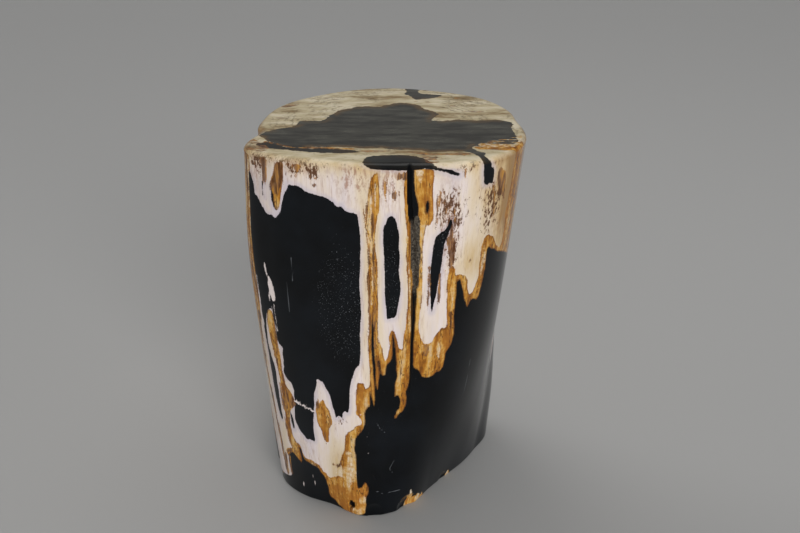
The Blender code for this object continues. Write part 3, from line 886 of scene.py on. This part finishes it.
# On the seat, a zone at the right end of the dark heart, where the stone is combed with rust.
SEAT_RUST_ZONE = (
    (98, -84), (104, -76), (114, -70), (126, -64), (138, -58), (148, -50), (152, -70), (148, -90),
    (132, -98), (114, -97), (102, -93),
)
cream = over_the_rim(depth_on_side(CREAM_OUTLINES, CREAM_LINES), depth_on_seat())
rust = over_the_rim(depth_on_side(RUST_OUTLINES), depth_on_seat((SEAT_RUST_ZONE,)))
print("cream and rust shares:", round(float((cream > 0).mean()), 4), round(float((rust > 0).mean()), 4))

# %% [markdown]
# Slow changes of tint. The pale stone is pinkish in the middle of the front, creamier near the rim and tan
# at the left. These changes have no edges, so each is a soft round patch: a bell curve across and along the
# grain. Flecks and dust gather in soft patches too.

# %% Soft patches of warmth, flecks and dust
# Each patch: u, z, half width, half height and strength.
WARM_PATCHES = (
    (-225, 330, 40, 130, 0.55),
    (-165, 350, 10, 80, 0.5),
    (-60, 442, 260, 9, 0.5),
    (-14, 330, 10, 130, 0.3),
    (26, 330, 10, 130, 0.3),
    (150, 390, 24, 60, 0.5),
    (180, 400, 30, 90, 0.6),
    (-55, 60, 20, 26, 0.5),
    (300, 330, 80, 110, 0.45),
    (-330, 300, 90, 120, 0.4),
    (480, 300, 60, 120, 0.3),
    (96, 322, 14, 18, 0.35),
    (108, 408, 16, 20, 0.25),
)
FLECK_PATCHES = (
    (-138, 428, 8, 14, 1.0),
    (-95, 432, 16, 9, 1.0),
    (-33, 436, 11, 5, 0.7),
    (6, 416, 9, 12, 0.8),
    (-100, 438, 40, 4, 0.8),
    (98, 392, 26, 34, 0.55),
    (66, 388, 10, 22, 1.0),
    (72, 335, 7, 26, 0.9),
    (117, 382, 8, 30, 0.75),
    (134, 396, 7, 26, 0.45),
    (-75, 425, 12, 8, 0.7),
    (95, 436, 30, 5, 0.7),
    (-52, 50, 10, 8, 0.8),
    (-55, 130, 9, 6, 1.0),
    (-145, 120, 8, 70, 0.4),
    (-180, 260, 16, 180, 0.8),
    (-330, 280, 90, 160, 0.6),
    (300, 330, 60, 90, 0.6),
    (450, 400, 60, 40, 0.7),
)
STIPPLE_PATCHES = (
    (-34, 424, 12, 15, 1.3),
    (4, 420, 12, 15, 1.0),
    (-92, 432, 20, 8, 0.7),
    (64, 388, 8, 22, 0.8),
    (70, 345, 6, 26, 0.9),
    (-140, 424, 8, 18, 0.8),
    (120, 384, 8, 30, 0.35),
    (140, 352, 8, 26, 0.4),
    (-200, 250, 24, 170, 0.5),
    (-380, 330, 60, 70, 0.7),
    (270, 390, 40, 40, 0.6),
    (470, 350, 50, 70, 0.6),
)
VEIN_PATCHES = (
    (-300, 230, 70, 190, 1.0),
    (-215, 230, 26, 190, 1.0),
    (250, 330, 60, 120, 0.9),
    (370, 300, 70, 150, 1.0),
    (487, 260, 80, 170, 1.0),
    (-158, 380, 7, 60, 0.9),
    (148, 400, 10, 40, 0.5),
)
ORANGE_PATCHES = (
    (-62, 24, 26, 24, 1.0),
    (-26, 38, 8, 14, 1.0),
    (-30, 160, 6, 20, 0.5),
    (4, 200, 7, 34, 0.7),
    (72, 225, 12, 30, 0.6),
    (48, 410, 5, 34, 0.9),
    (-78, 118, 8, 24, 0.8),
    (-12, 180, 10, 22, 0.7),
    (22, 300, 4, 90, 0.5),
    (148, 345, 12, 30, 0.5),
    (300, 240, 120, 120, 0.4),
)
DUST_PATCHES = (
    (-50, 282, 16, 40, 1.8),
    (61, 350, 7, 14, 1.6),
    (7, 310, 6, 40, 1.2),
    (-30, 250, 60, 160, 0.45),
    (60, 110, 60, 80, 0.4),
)


def soft_patches(patches):
    """The sum of bell curves at each place on the chart, kept between 0 and 1."""
    total = np.zeros(len(grid_u))
    for u, z, half_width, half_height, strength in patches:
        place = side_place([(u, z)])
        across = (place[:, 0] - u) / half_width
        along = (place[:, 1] - z) / half_height
        total += strength * np.exp(-0.5 * (across**2 + along**2))
    return np.clip(total, 0, 1)


# Painted shade in the front crevice: heavy near the rim and at its lower end, light between, where it is filled with
# grey crystals.
CREVICE_SHADE = ((0, 0.8), (290, 0.7), (305, 0.1), (372, 0.1), (382, 1.0), (440, 1.0))
SEAT_RING_REACH = 150
# Past this distance from the front's middle, in mm, a crevice gets full painted shade all the way.
FRONT_HALF_WIDTH = 200
# A groove's painted shade is full at this depth, in mm.
FULL_SHADE_DEPTH = 1.2
# The pit in the foot, painted jet as its shade: u, z, half width and half height.
PIT = (-47.3, 13.4, 6.0, 5.0)
warm = soft_patches(WARM_PATCHES)
flecks = soft_patches(FLECK_PATCHES)
dust = soft_patches(DUST_PATCHES)
veins = soft_patches(VEIN_PATCHES)
stipple = soft_patches(STIPPLE_PATCHES)
orange = soft_patches(ORANGE_PATCHES)
# Painted shade: the grooves are coloured jet, more the deeper they are, and the pit is coloured jet all over.
crevice_shade_share = np.interp(grid_z, *zip(*CREVICE_SHADE))
crevice_shade_share = np.where(np.abs(side_place([(0, 0)])[:, 0]) > FRONT_HALF_WIDTH, 1, crevice_shade_share)
pit = depth_of_spot(side_place([PIT[:2]]), *PIT)
groove_shade = np.clip(crevice_depth.ravel() / FULL_SHADE_DEPTH, 0, 1) * crevice_shade_share
crevice = np.maximum(groove_shade, np.clip(pit, 0, 1))
ring = np.repeat(row_share, len(column_u)) * SEAT_RING_REACH
print("warm patches, mean:", round(float(warm.mean()), 2))

# %% [markdown]
# The grid becomes one closed mesh. Rows and columns give four-cornered faces, the last column joins the
# first, and a fan of triangles closes the middle of the seat and of the foot. Each field goes in as an
# attribute on the points.

# %% Build the fine log
def closed_grid(surface, middles):
    """Points and faces of a closed surface: the grid's rows from foot to seat, joined around, and a fan
    from each end row to its middle point."""
    rows, columns = surface.shape[:2]
    index = np.arange(rows * columns).reshape(rows, columns)
    beside = np.roll(index, -1, axis=1)
    quads = np.stack([index[:-1], beside[:-1], beside[1:], index[1:]], axis=-1).reshape(-1, 4)
    low, high = rows * columns, rows * columns + 1
    foot_fan = np.stack([beside[0], index[0], np.full(columns, low)], axis=-1)
    seat_fan = np.stack([index[-1], beside[-1], np.full(columns, high)], axis=-1)
    everything = np.concatenate([surface.reshape(-1, 3), middles])
    return everything, quads.tolist() + foot_fan.tolist() + seat_fan.tolist()


middles = np.array([[0, 0, 0], [0, 0, HEIGHT]], float)
vertices, faces = closed_grid(points, middles)
vertices *= MM
solid_middle = np.mean(solid_box, axis=0)
centring = (solid_middle - (vertices.min(axis=0) + vertices.max(axis=0)) / 2) * (1, 1, 0)
vertices += centring
print("moved onto the solid part by, mm:", np.round(centring / MM, 2))
mesh = bpy.data.meshes.new("fine_log")
mesh.from_pydata(vertices.tolist(), [], faces)
mesh.shade_smooth()
# The crevice field is the painted shade of the grooves and the pit.
fields = {
    "black": black, "ochre": ochre, "cream": cream, "brown": brown, "rust": rust, "grey": grey,
    "scratched": scratched, "pale": pale, "warm": warm, "flecks": flecks, "veins": veins, "orange": orange,
    "stipple": stipple, "deep": deep, "dust": dust, "crevice": crevice, "seat": grid_seat, "ring": ring,
}
for name, field in fields.items():
    values = np.concatenate([field, [field[: len(column_u)].mean()], [field[-len(column_u):].mean()]])
    mesh.attributes.new(name, "FLOAT", "POINT").data.foreach_set("value", values.astype(np.float32))
log = bpy.data.objects.new("polished_log", mesh)
bpy.context.scene.collection.objects.link(log)
print("triangles:", sum(len(polygon.vertices) - 2 for polygon in mesh.polygons))

# %% [markdown]
# The stone's material is laid in coats, as a painter would: the pale stone and the seat first, then ochre,
# cream, black, brown, rust, grey crystals, scratches, the pale lines with one painted highlight, and last
# painted shade in the crevices and the pit. A coat's mask comes from its depth attribute, most with a little
# noise added, which frays the edge along the grain. Noise that is stretched along the height makes the streaks.

# %% Helpers for nodes
MIX_A, MIX_B, MIX_RESULT = 6, 7, 2


def add_node(tree, kind, inputs, **settings):
    """A node with its settings made and its inputs linked, where a socket is given, or set, where a value
    is."""
    node = tree.nodes.new(kind)
    for name, value in settings.items():
        setattr(node, name, value)
    for key, value in inputs.items():
        if isinstance(value, bpy.types.NodeSocket):
            tree.links.new(value, node.inputs[key])
        else:
            node.inputs[key].default_value = value
    return node


def field_of(tree, name):
    """The attribute of that name as a number."""
    return add_node(tree, "ShaderNodeAttribute", {}, attribute_name=name).outputs["Fac"]


def maths(tree, operation, first, second):
    """A calculation of the given kind. Sine and absolute value use only the first number."""
    return add_node(tree, "ShaderNodeMath", {0: first, 1: second}, operation=operation).outputs[0]


def times(tree, first, second):
    """The product of two numbers."""
    return maths(tree, "MULTIPLY", first, second)


def plus(tree, first, second):
    """Two numbers added."""
    return maths(tree, "ADD", first, second)


def less(tree, first, second):
    """The first number less the second."""
    return maths(tree, "SUBTRACT", first, second)


def stretched(tree, place, scale):
    """The place scaled on each axis. A small scale draws a pattern out along that axis."""
    return add_node(tree, "ShaderNodeMapping", {"Vector": place, "Scale": scale}).outputs[0]


def ramp_between(tree, value, start, end, low=0.0, high=1.0):
    """A smooth step: low where the value is at start, high where it is at end."""
    inputs = {"Value": value, "From Min": start, "From Max": end, "To Min": low, "To Max": high}
    return add_node(tree, "ShaderNodeMapRange", inputs, interpolation_type="SMOOTHSTEP").outputs[0]


def noise(tree, vector, scale, detail=3.0, roughness=0.6):
    """Soft noise around 0.5, with as many lumps to a metre as the scale says."""
    inputs = {"Vector": vector, "Scale": scale, "Detail": detail, "Roughness": roughness}
    return add_node(tree, "ShaderNodeTexNoise", inputs).outputs["Fac"]


def ridge_of(tree, value):
    """How far a noise is from its middle value. Where this is near 0, it draws thin winding lines."""
    return maths(tree, "ABSOLUTE", less(tree, value, 0.5), 0)


def coat(tree, below, above, mask):
    """The colour above, from a socket or by name, laid over the colour below where the mask is 1."""
    above = (*above, 1) if isinstance(above, tuple) else above
    mix = add_node(tree, "ShaderNodeMix", {0: mask, MIX_A: below, MIX_B: above}, data_type="RGBA")
    return mix.outputs[MIX_RESULT]


def colours(tree, value, stops):
    """A colour ramp with the given positions and colours."""
    node = add_node(tree, "ShaderNodeValToRGB", {"Fac": value})
    elements = node.color_ramp.elements
    for _ in stops[2:]:
        elements.new(0.5)
    for element, (position, colour) in zip(elements, stops):
        element.position = position
        element.color = (*colour, 1)
    return node.outputs["Color"]


print("a mix node takes its colours at inputs", MIX_A, "and", MIX_B)

# %% [markdown]
# The colours of the stone, as red, green and blue amounts of light.

# %% Stone colours
PINK_WHITE = (0.76, 0.665, 0.635)
WARM_WHITE = (0.72, 0.60, 0.45)
LAVENDER = (0.50, 0.45, 0.52)
PINK_BROWN = (0.36, 0.19, 0.125)
CREAM = (0.62, 0.45, 0.24)
TAN = (0.36, 0.215, 0.085)
GOLD_LIGHT = (0.62, 0.35, 0.085)
GOLD = (0.47, 0.215, 0.03)
GOLD_BROWN = (0.33, 0.125, 0.016)
GOLD_DEEP = (0.17, 0.06, 0.010)
RUST = (0.40, 0.155, 0.025)
BROWN = (0.085, 0.032, 0.012)
BROWN_LIGHT = (0.24, 0.115, 0.05)
JET = (0.0014, 0.0019, 0.0026)
JET_GREY = (0.0048, 0.0066, 0.0092)
DUST = (0.15, 0.16, 0.17)
CRYSTAL = (0.14, 0.12, 0.092)
CRYSTAL_DARK = (0.022, 0.018, 0.015)
SEAT_PALE = (0.70, 0.61, 0.435)
SEAT_CREAM = (0.52, 0.43, 0.26)
SEAT_TAN = (0.27, 0.185, 0.085)
SEAT_LINE = (0.12, 0.08, 0.035)
HEART = (0.033, 0.030, 0.024)
HEART_LIGHT = (0.090, 0.086, 0.068)
HEART_BROWN = (0.12, 0.075, 0.034)
print("darkest and lightest stone:", JET, PINK_WHITE)

# %% [markdown]
# The pale stone of the side is like porcelain: pinkish white, creamy near the rim, tan where iron soaked in
# at the left, and a little lavender where it thins over the black. Fine brown hairs run along the grain.
# Winding veins and a misty stipple show where their fields let them. Small brown flecks gather in some
# places: they are the peaks of a noise that is stretched along the grain, and the flecks field sets how far
# the noise is cut down.

# %% Pale stone of the side
# A colour ramp ends at 1 and the warmth goes past it, so both are scaled down.
WARMTH_SCALE = 0.8


def pale_side(tree, place, grain, black_depth):
    """Pink white, through cream, to tan by the warmth field, under lavender clouds, hairs, veins, stipple
    and flecks."""
    softness = noise(tree, grain, 70, 4.0, 0.7)
    warmth = plus(tree, field_of(tree, "warm"), times(tree, softness, 0.85))
    stops = ((0.37, PINK_WHITE), (0.62, WARM_WHITE), (0.95, CREAM), (1.2, TAN))
    stops = tuple((at * WARMTH_SCALE, colour) for at, colour in stops)
    tint = colours(tree, times(tree, warmth, WARMTH_SCALE), stops)
    cloud = ramp_between(tree, noise(tree, grain, 26, 4.0, 0.6), 0.50, 0.70, 0.0, 0.4)
    tint = coat(tree, tint, LAVENDER, cloud)
    streak = stretched(tree, place, (1, 1, 0.06))
    hair = ramp_between(tree, noise(tree, streak, 620, 3.0, 0.7), 0.52, 0.68, 0.0, 0.5)
    tufts = ramp_between(tree, noise(tree, grain, 60, 3.0), 0.44, 0.60, 0.1, 1.0)
    tint = coat(tree, tint, PINK_BROWN, times(tree, hair, tufts))
    ridge = ridge_of(tree, noise(tree, streak, 44, 5.0, 0.6))
    broken = times(tree, field_of(tree, "veins"), ramp_between(tree, noise(tree, place, 30), 0.42, 0.58))
    halo = times(tree, ramp_between(tree, ridge, 0.05, 0.01, 0.0, 0.6), broken)
    tint = coat(tree, tint, GOLD, halo)
    vein = times(tree, ramp_between(tree, ridge, 0.012, 0.003, 0.0, 0.8), broken)
    tint = coat(tree, tint, BROWN, vein)
    by_black = times(tree, ramp_between(tree, black_depth, -7.0, -0.5), noise(tree, place, 45, 2.0))
    tint = coat(tree, tint, LAVENDER, by_black)
    short = stretched(tree, place, (1, 1, 0.36))
    misty = ramp_between(tree, noise(tree, short, 270, 5.0, 0.75), 0.47, 0.60, 0.0, 0.8)
    tint = coat(tree, tint, PINK_BROWN, times(tree, field_of(tree, "stipple"), misty))
    clumps = times(tree, less(tree, noise(tree, place, 75, 3.0), 0.5), 0.5)
    strokes = plus(tree, noise(tree, short, 400, 4.0, 0.7), clumps)
    cut = less(tree, 0.86, times(tree, field_of(tree, "flecks"), 0.36))
    above_cut = less(tree, strokes, cut)
    tint = coat(tree, tint, BROWN_LIGHT, ramp_between(tree, above_cut, -0.06, 0.05, 0.0, 0.7))
    return coat(tree, tint, BROWN, ramp_between(tree, above_cut, 0.0, 0.06, 0.0, 0.9))


print("the pale stone warms from", PINK_WHITE, "to", TAN)

# %% [markdown]
# The sawn seat shows the rings. The ring field counts mm out from the middle, in the shape of the log's own
# outline. A sine of it, shaken by two noises, draws wavy rings; only its crests are drawn, and only in some
# places. The heart is not one black but a brownish one, brushed with lighter streaks.

# %% Seat of the log
RING_SPACING = 9.0


def seat_stone(tree, place):
    """Khaki cream in soft streaks, crossed by thin winding dark lines and faint rings."""
    across = stretched(tree, place, (0.34, 1, 1))
    shake = times(tree, noise(tree, place, 16, 3.0), 46)
    tremble = times(tree, noise(tree, place, 110, 4.0), 14)
    ring = plus(tree, plus(tree, field_of(tree, "ring"), shake), tremble)
    wave = maths(tree, "SINE", times(tree, ring, 2 * math.pi / RING_SPACING), 0)
    patches = noise(tree, across, 42, 6.0, 0.7)
    cream = colours(tree, patches, ((0.36, SEAT_TAN), (0.47, SEAT_CREAM), (0.60, SEAT_PALE)))
    shown = ramp_between(tree, noise(tree, place, 24, 2.0), 0.46, 0.6)
    faint = times(tree, ramp_between(tree, wave, 0.3, 1.0, 0.0, 0.45), shown)
    cream = coat(tree, cream, SEAT_LINE, faint)
    ridge = ridge_of(tree, noise(tree, across, 95, 4.0, 0.65))
    winding = times(tree, ramp_between(tree, ridge, 0.016, 0.004, 0.0, 0.85), shown)
    cream = coat(tree, cream, SEAT_LINE, winding)
    dots = ramp_between(tree, noise(tree, across, 420, 3.0, 0.6), 0.66, 0.74, 0.0, 0.8)
    return coat(tree, cream, SEAT_LINE, dots)


def heart_stone(tree, place, black_depth):
    """Brownish black, brushed with lighter streaks that run across the seat, and browner by its edge."""
    brushed = stretched(tree, place, (0.3, 1, 1))
    heart = colours(tree, noise(tree, brushed, 70, 8.0, 0.72), ((0.42, HEART), (0.66, HEART_LIGHT)))
    near = ramp_between(tree, black_depth, 12.0, 1.0)
    some = ramp_between(tree, noise(tree, place, 26, 3.0), 0.44, 0.56)
    return coat(tree, heart, HEART_BROWN, times(tree, near, some))


print("rings of the seat, mm apart:", RING_SPACING)

# %% [markdown]
# Ochre stone: gold in crisp streaks along the grain, mottled with cream, cut by thin brown veins and edged
# with brown in places. Black stone: jet with a slight blue bloom, and dust-like specks where small crystals
# were polished through.

# %% Ochre and black stone
def ochre_stone(tree, place, grain, ochre_depth):
    """Gold streaked and mottled, with brown veins and broken dark edges."""
    streaks = times(tree, noise(tree, grain, 105, 4.0, 0.62), 0.74)
    mottle = times(tree, noise(tree, place, 170, 4.0, 0.65), 0.26)
    tone = plus(tree, streaks, mottle)
    stops = ((0.38, GOLD_DEEP), (0.45, GOLD_BROWN), (0.50, GOLD), (0.56, GOLD_LIGHT), (0.64, CREAM))
    gold = colours(tree, tone, stops)
    orange = times(tree, field_of(tree, "orange"), ramp_between(tree, mottle, 0.155, 0.115, 0.25, 0.85))
    gold = coat(tree, gold, RUST, orange)
    ridge = ridge_of(tree, noise(tree, grain, 120, 3.0))
    gold = coat(tree, gold, BROWN, ramp_between(tree, ridge, 0.018, 0.004, 0.0, 0.8))
    some = ramp_between(tree, noise(tree, place, 60, 3.0), 0.42, 0.58)
    edge = times(tree, ramp_between(tree, ochre_depth, 1.8, 0.2, 0.0, 0.9), some)
    return coat(tree, gold, GOLD_DEEP, edge)


def black_stone(tree, place, seat, black_depth):
    """Jet on the side and the heart's black on the seat, with specks of dust by the dust field."""
    bloom = colours(tree, noise(tree, place, 14, 3.0, 0.6), ((0.4, JET), (0.75, JET_GREY)))
    specks = less(tree, noise(tree, place, 760, 1.5), 0.84)
    dusty = plus(tree, specks, times(tree, field_of(tree, "dust"), 0.195))
    shown = ramp_between(tree, dusty, 0.0, 0.07, 0.0, 0.65)
    jet = coat(tree, bloom, DUST, shown)
    browner = times(tree, seat, ramp_between(tree, field_of(tree, "deep"), 2.0, -2.0, 0.35, 1.0))
    return coat(tree, jet, heart_stone(tree, place, black_depth), browner)


print("ochre goes from", GOLD_DEEP, "to", CREAM)

# %% [markdown]
# Frayed edges. A real border in the stone is not a clean line: it frays along the grain on the side and
# across it on the seat. A noise is added to each mark's depth, and each mark has its own amount.

# %% Frayed depths of the marks
# From the noise's lowest to its highest value, in mm.
FRAYS = {"black": 3.4, "ochre": 4.0, "cream": 8, "brown": 9, "rust": 9, "grey": 9, "pale": 3.4}
SEAT_FRAY = 9


def frayed_depths(tree, place, grain, across, seat):
    """Each mark's depth plus a noise times its fray, and on the seat a broader noise as well for the
    black."""
    rough = coat(tree, noise(tree, grain, 280, 3.0), noise(tree, across, 150, 3.0), seat)
    fine = less(tree, noise(tree, place, 700, 2.0), 0.5)
    rough = plus(tree, rough, times(tree, fine, 0.4))
    fray = times(tree, less(tree, rough, 0.5), ramp_between(tree, seat, 0.0, 1.0, 1.0, 0.5))
    depth = {name: plus(tree, field_of(tree, name), times(tree, fray, amount)) for name, amount in FRAYS.items()}
    ragged = times(tree, less(tree, noise(tree, place, 120, 5.0, 0.7), 0.5), SEAT_FRAY)
    depth["black"] = plus(tree, depth["black"], times(tree, ragged, seat))
    return depth


print("spread of the noise on each mark's depth, mm:", FRAYS)

# %% [markdown]
# Now the coats, one over the other. The last function also gives where the stone is unpolished, which is in
# the crystals and in the cracks, because the gloss is lost there.

# %% The coats
def seat_through(tree, mask, seat, pattern):
    """The mask, and on the seat only as much of it as the pattern lets through."""
    kept_out = times(tree, seat, less(tree, 1.0, pattern))
    return times(tree, mask, less(tree, 1.0, kept_out))


def warm_coats(tree, place, grain, seat, depth):
    """Pale stone and seat, then ochre with its dark edge, cream and black."""
    base = coat(tree, pale_side(tree, place, grain, depth["black"]), seat_stone(tree, place), seat)
    gold = ochre_stone(tree, place, grain, depth["ochre"])
    by_black = ramp_between(tree, depth["black"], -1.8, -0.3, 0.0, 0.7)
    gold = coat(tree, gold, BROWN, by_black)
    base = coat(tree, base, gold, ramp_between(tree, depth["ochre"], -0.5, 0.5))
    mottled = ramp_between(tree, noise(tree, place, 240, 4.0, 0.7), 0.42, 0.54, 0.25, 0.95)
    creamy = times(tree, ramp_between(tree, depth["cream"], -1.0, 1.2), mottled)
    stops = ((0.42, GOLD_LIGHT), (0.50, CREAM), (0.60, WARM_WHITE))
    base = coat(tree, base, colours(tree, noise(tree, grain, 210, 4.0, 0.7), stops), creamy)
    black = black_stone(tree, place, seat, depth["black"])
    return coat(tree, base, black, ramp_between(tree, depth["black"], -0.35, 0.35))


def brown_coats(tree, base, place, grain, across, seat, depth):
    """Brown veins, spotty on the seat, and rust, combed on the seat."""
    streaks = coat(tree, noise(tree, grain, 300), noise(tree, place, 160, 5.0, 0.7), seat)
    vein = colours(tree, streaks, ((0.40, BROWN), (0.53, BROWN_LIGHT), (0.64, GOLD)))
    spotty = ramp_between(tree, noise(tree, across, 150, 5.0, 0.7), 0.42, 0.58, 0.1, 1.0)
    brown_mask = ramp_between(tree, depth["brown"], -0.5, 0.5, 0.0, 0.92)
    base = coat(tree, base, vein, seat_through(tree, brown_mask, seat, spotty))
    stops = ((0.38, RUST), (0.50, GOLD_LIGHT), (0.62, WARM_WHITE))
    rusty = colours(tree, noise(tree, grain, 240, 3.0), stops)
    combed = stretched(tree, place, (0.09, 1, 1))
    comb = ramp_between(tree, noise(tree, combed, 230, 3.0, 0.6), 0.50, 0.57, 0.0, 0.9)
    rust_mask = ramp_between(tree, depth["rust"], -0.6, 0.8, 0.0, 0.95)
    return coat(tree, base, rusty, seat_through(tree, rust_mask, seat, comb))


def last_coats(tree, base, place, depth):
    """Grey crystals, scratches, pale lines with one painted highlight, painted shade in the cracks and
    the pit, and where the stone is unpolished."""
    crystal = colours(tree, noise(tree, place, 420, 4.0, 0.8), ((0.42, CRYSTAL_DARK), (0.64, CRYSTAL)))
    grey_mask = ramp_between(tree, depth["grey"], -0.5, 0.7)
    base = coat(tree, base, crystal, grey_mask)
    scratch = ramp_between(tree, field_of(tree, "scratched"), -0.2, 0.8, 0.0, 0.7)
    base = coat(tree, base, DUST, scratch)
    # Pale coat: healed cracks and spots, and one painted highlight.
    base = coat(tree, base, PINK_WHITE, ramp_between(tree, depth["pale"], -0.4, 0.5))
    # Painted shade: jet laid in the grooves and the pit by the crevice field.
    painted_crack_shade = ramp_between(tree, field_of(tree, "crevice"), 0.15, 0.9)
    return coat(tree, base, JET, painted_crack_shade), maths(tree, "MAXIMUM", grey_mask, painted_crack_shade)


print("the crystals go from", CRYSTAL_DARK, "to", CRYSTAL)

# %% [markdown]
# The gloss. Polished stone is smooth and mirrors softly. The refractive index is set lower than real
# stone's, because that gives the satin black of the real piece under these lights.

# %% Make the stone
POLISHED, UNPOLISHED = 0.13, 0.62
REFRACTIVE_INDEX = 1.34
BUMP_STRENGTH, BUMP_DISTANCE = 0.6, 0.0012


def polished_stone():
    """The material: coats of colour from the fields, with gloss that is lost in crystals and cracks."""
    stone = bpy.data.materials.new("polished_petrified_wood")
    stone.use_nodes = True
    tree = stone.node_tree
    shader = tree.nodes["Principled BSDF"]
    place = add_node(tree, "ShaderNodeTexCoord", {}).outputs["Object"]
    grain = stretched(tree, place, (1, 1, 0.14))
    across = stretched(tree, place, (0.2, 1, 1))
    seat = field_of(tree, "seat")
    depth = frayed_depths(tree, place, grain, across, seat)
    base = warm_coats(tree, place, grain, seat, depth)
    base = brown_coats(tree, base, place, grain, across, seat, depth)
    base, unpolished = last_coats(tree, base, place, depth)
    tree.links.new(base, shader.inputs["Base Color"])
    gloss = ramp_between(tree, unpolished, 0.0, 1.0, POLISHED, UNPOLISHED)
    tree.links.new(gloss, shader.inputs["Roughness"])
    shader.inputs["IOR"].default_value = REFRACTIVE_INDEX
    crystals = times(tree, noise(tree, place, 500, 4.0), unpolished)
    relief = plus(tree, crystals, times(tree, noise(tree, grain, 60, 2.0), 0.04))
    bump_inputs = {"Height": relief, "Strength": BUMP_STRENGTH, "Distance": BUMP_DISTANCE}
    tree.links.new(add_node(tree, "ShaderNodeBump", bump_inputs).outputs[0], shader.inputs["Normal"])
    return stone


log.data.materials.append(polished_stone())
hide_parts("petrified_log")
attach(log, "root")
print("nodes in the stone:", len(log.data.materials[0].node_tree.nodes))

# %% [markdown]
# The studio: a plain pale floor that runs on past the view. A wide low light from the front lights the side
# as brightly as the seat. A weaker one from the back left and a soft lamp overhead keep the hidden sides
# from going dark, and an even pale surround fills the shadows.

# %% Floor and surround
FLOOR_SIZE = 24.0
FLOOR_PAPER = (0.42, 0.415, 0.405, 1)
FLOOR_ROUGHNESS = 0.9
SURROUND = (0.9, 0.92, 0.95, 1)
SURROUND_STRENGTH = 0.17
corner = FLOOR_SIZE / 2
corners = [(-corner, -corner, 0), (corner, -corner, 0), (corner, corner, 0), (-corner, corner, 0)]
floor_mesh = bpy.data.meshes.new("studio_floor")
floor_mesh.from_pydata(corners, [], [(0, 1, 2, 3)])
floor = bpy.data.objects.new("studio_floor", floor_mesh)
bpy.context.scene.collection.objects.link(floor)
paper = bpy.data.materials.new("pale_paper")
paper.use_nodes = True
paper_inputs = paper.node_tree.nodes["Principled BSDF"].inputs
paper_inputs["Base Color"].default_value = FLOOR_PAPER
paper_inputs["Roughness"].default_value = FLOOR_ROUGHNESS
floor.data.materials.append(paper)
world = bpy.data.worlds.new("studio_surround")
world.use_nodes = True
world_inputs = world.node_tree.nodes["Background"].inputs
world_inputs["Color"].default_value = SURROUND
world_inputs["Strength"].default_value = SURROUND_STRENGTH
bpy.context.scene.world = world
bpy.context.scene.view_settings.view_transform = "Standard"
print("floor, m:", FLOOR_SIZE, "by", FLOOR_SIZE)

# %% Lamps
KEY_WIDTH, FILL_WIDTH = 44, 50
OVERHEAD_SIZE = 1.6


def add_lamp(name, kind, energy, place, target, glare):
    """A light at a place, turned to face a target. Without glare, its own image is kept out of the polish,
    as a photographer keeps a lamp's glare off a shiny table top."""
    light = bpy.data.lights.new(name, kind)
    light.energy = energy
    lamp = bpy.data.objects.new(name, light)
    lamp.visible_glossy = glare
    lamp.location = place
    direction = np.array(target) - np.array(place)
    tilt = math.atan2(math.hypot(direction[0], direction[1]), -direction[2])
    lamp.rotation_euler = (tilt, 0, math.atan2(-direction[0], direction[1]))
    bpy.context.scene.collection.objects.link(lamp)
    return light


key = add_lamp("wide_key", "SUN", energy=2.75, place=(0.8, -3.4, 1.1), target=(0, 0, 0), glare=False)
key.angle = math.radians(KEY_WIDTH)
fill = add_lamp("back_fill", "SUN", energy=1.15, place=(-2.2, 2.6, 1.7), target=(0, 0, 0), glare=False)
fill.angle = math.radians(FILL_WIDTH)
overhead = add_lamp("overhead", "AREA", energy=12, place=(0.3, 0.2, 2.4), target=(0, 0, 0.3), glare=True)
overhead.shape = "RECTANGLE"
overhead.size = OVERHEAD_SIZE
overhead.size_y = OVERHEAD_SIZE
print("lamps:", key.name, fill.name, overhead.name)

# %% [markdown]
# The camera stands in front and above, looking down at 24 degrees. Its lens isn't known, so an ordinary 50
# mm lens is taken. For that lens, the tilt, height and distance were found by trial from the perspective of
# the top and sides.

# %% Camera
LENS, FRAME_WIDTH = 50, 36
LOOKING_DOWN = 24
CAMERA_PLACE = (0.0143, -1.212, 0.8006)
camera_data = bpy.data.cameras.new("front_camera")
camera_data.lens = LENS
camera_data.sensor_width = FRAME_WIDTH
camera = bpy.data.objects.new("front_camera", camera_data)
camera.location = CAMERA_PLACE
camera.rotation_euler = (math.radians(90 - LOOKING_DOWN), 0, 0)
bpy.context.scene.collection.objects.link(camera)
bpy.context.scene.camera = camera
print("camera stands at, m:", CAMERA_PLACE)
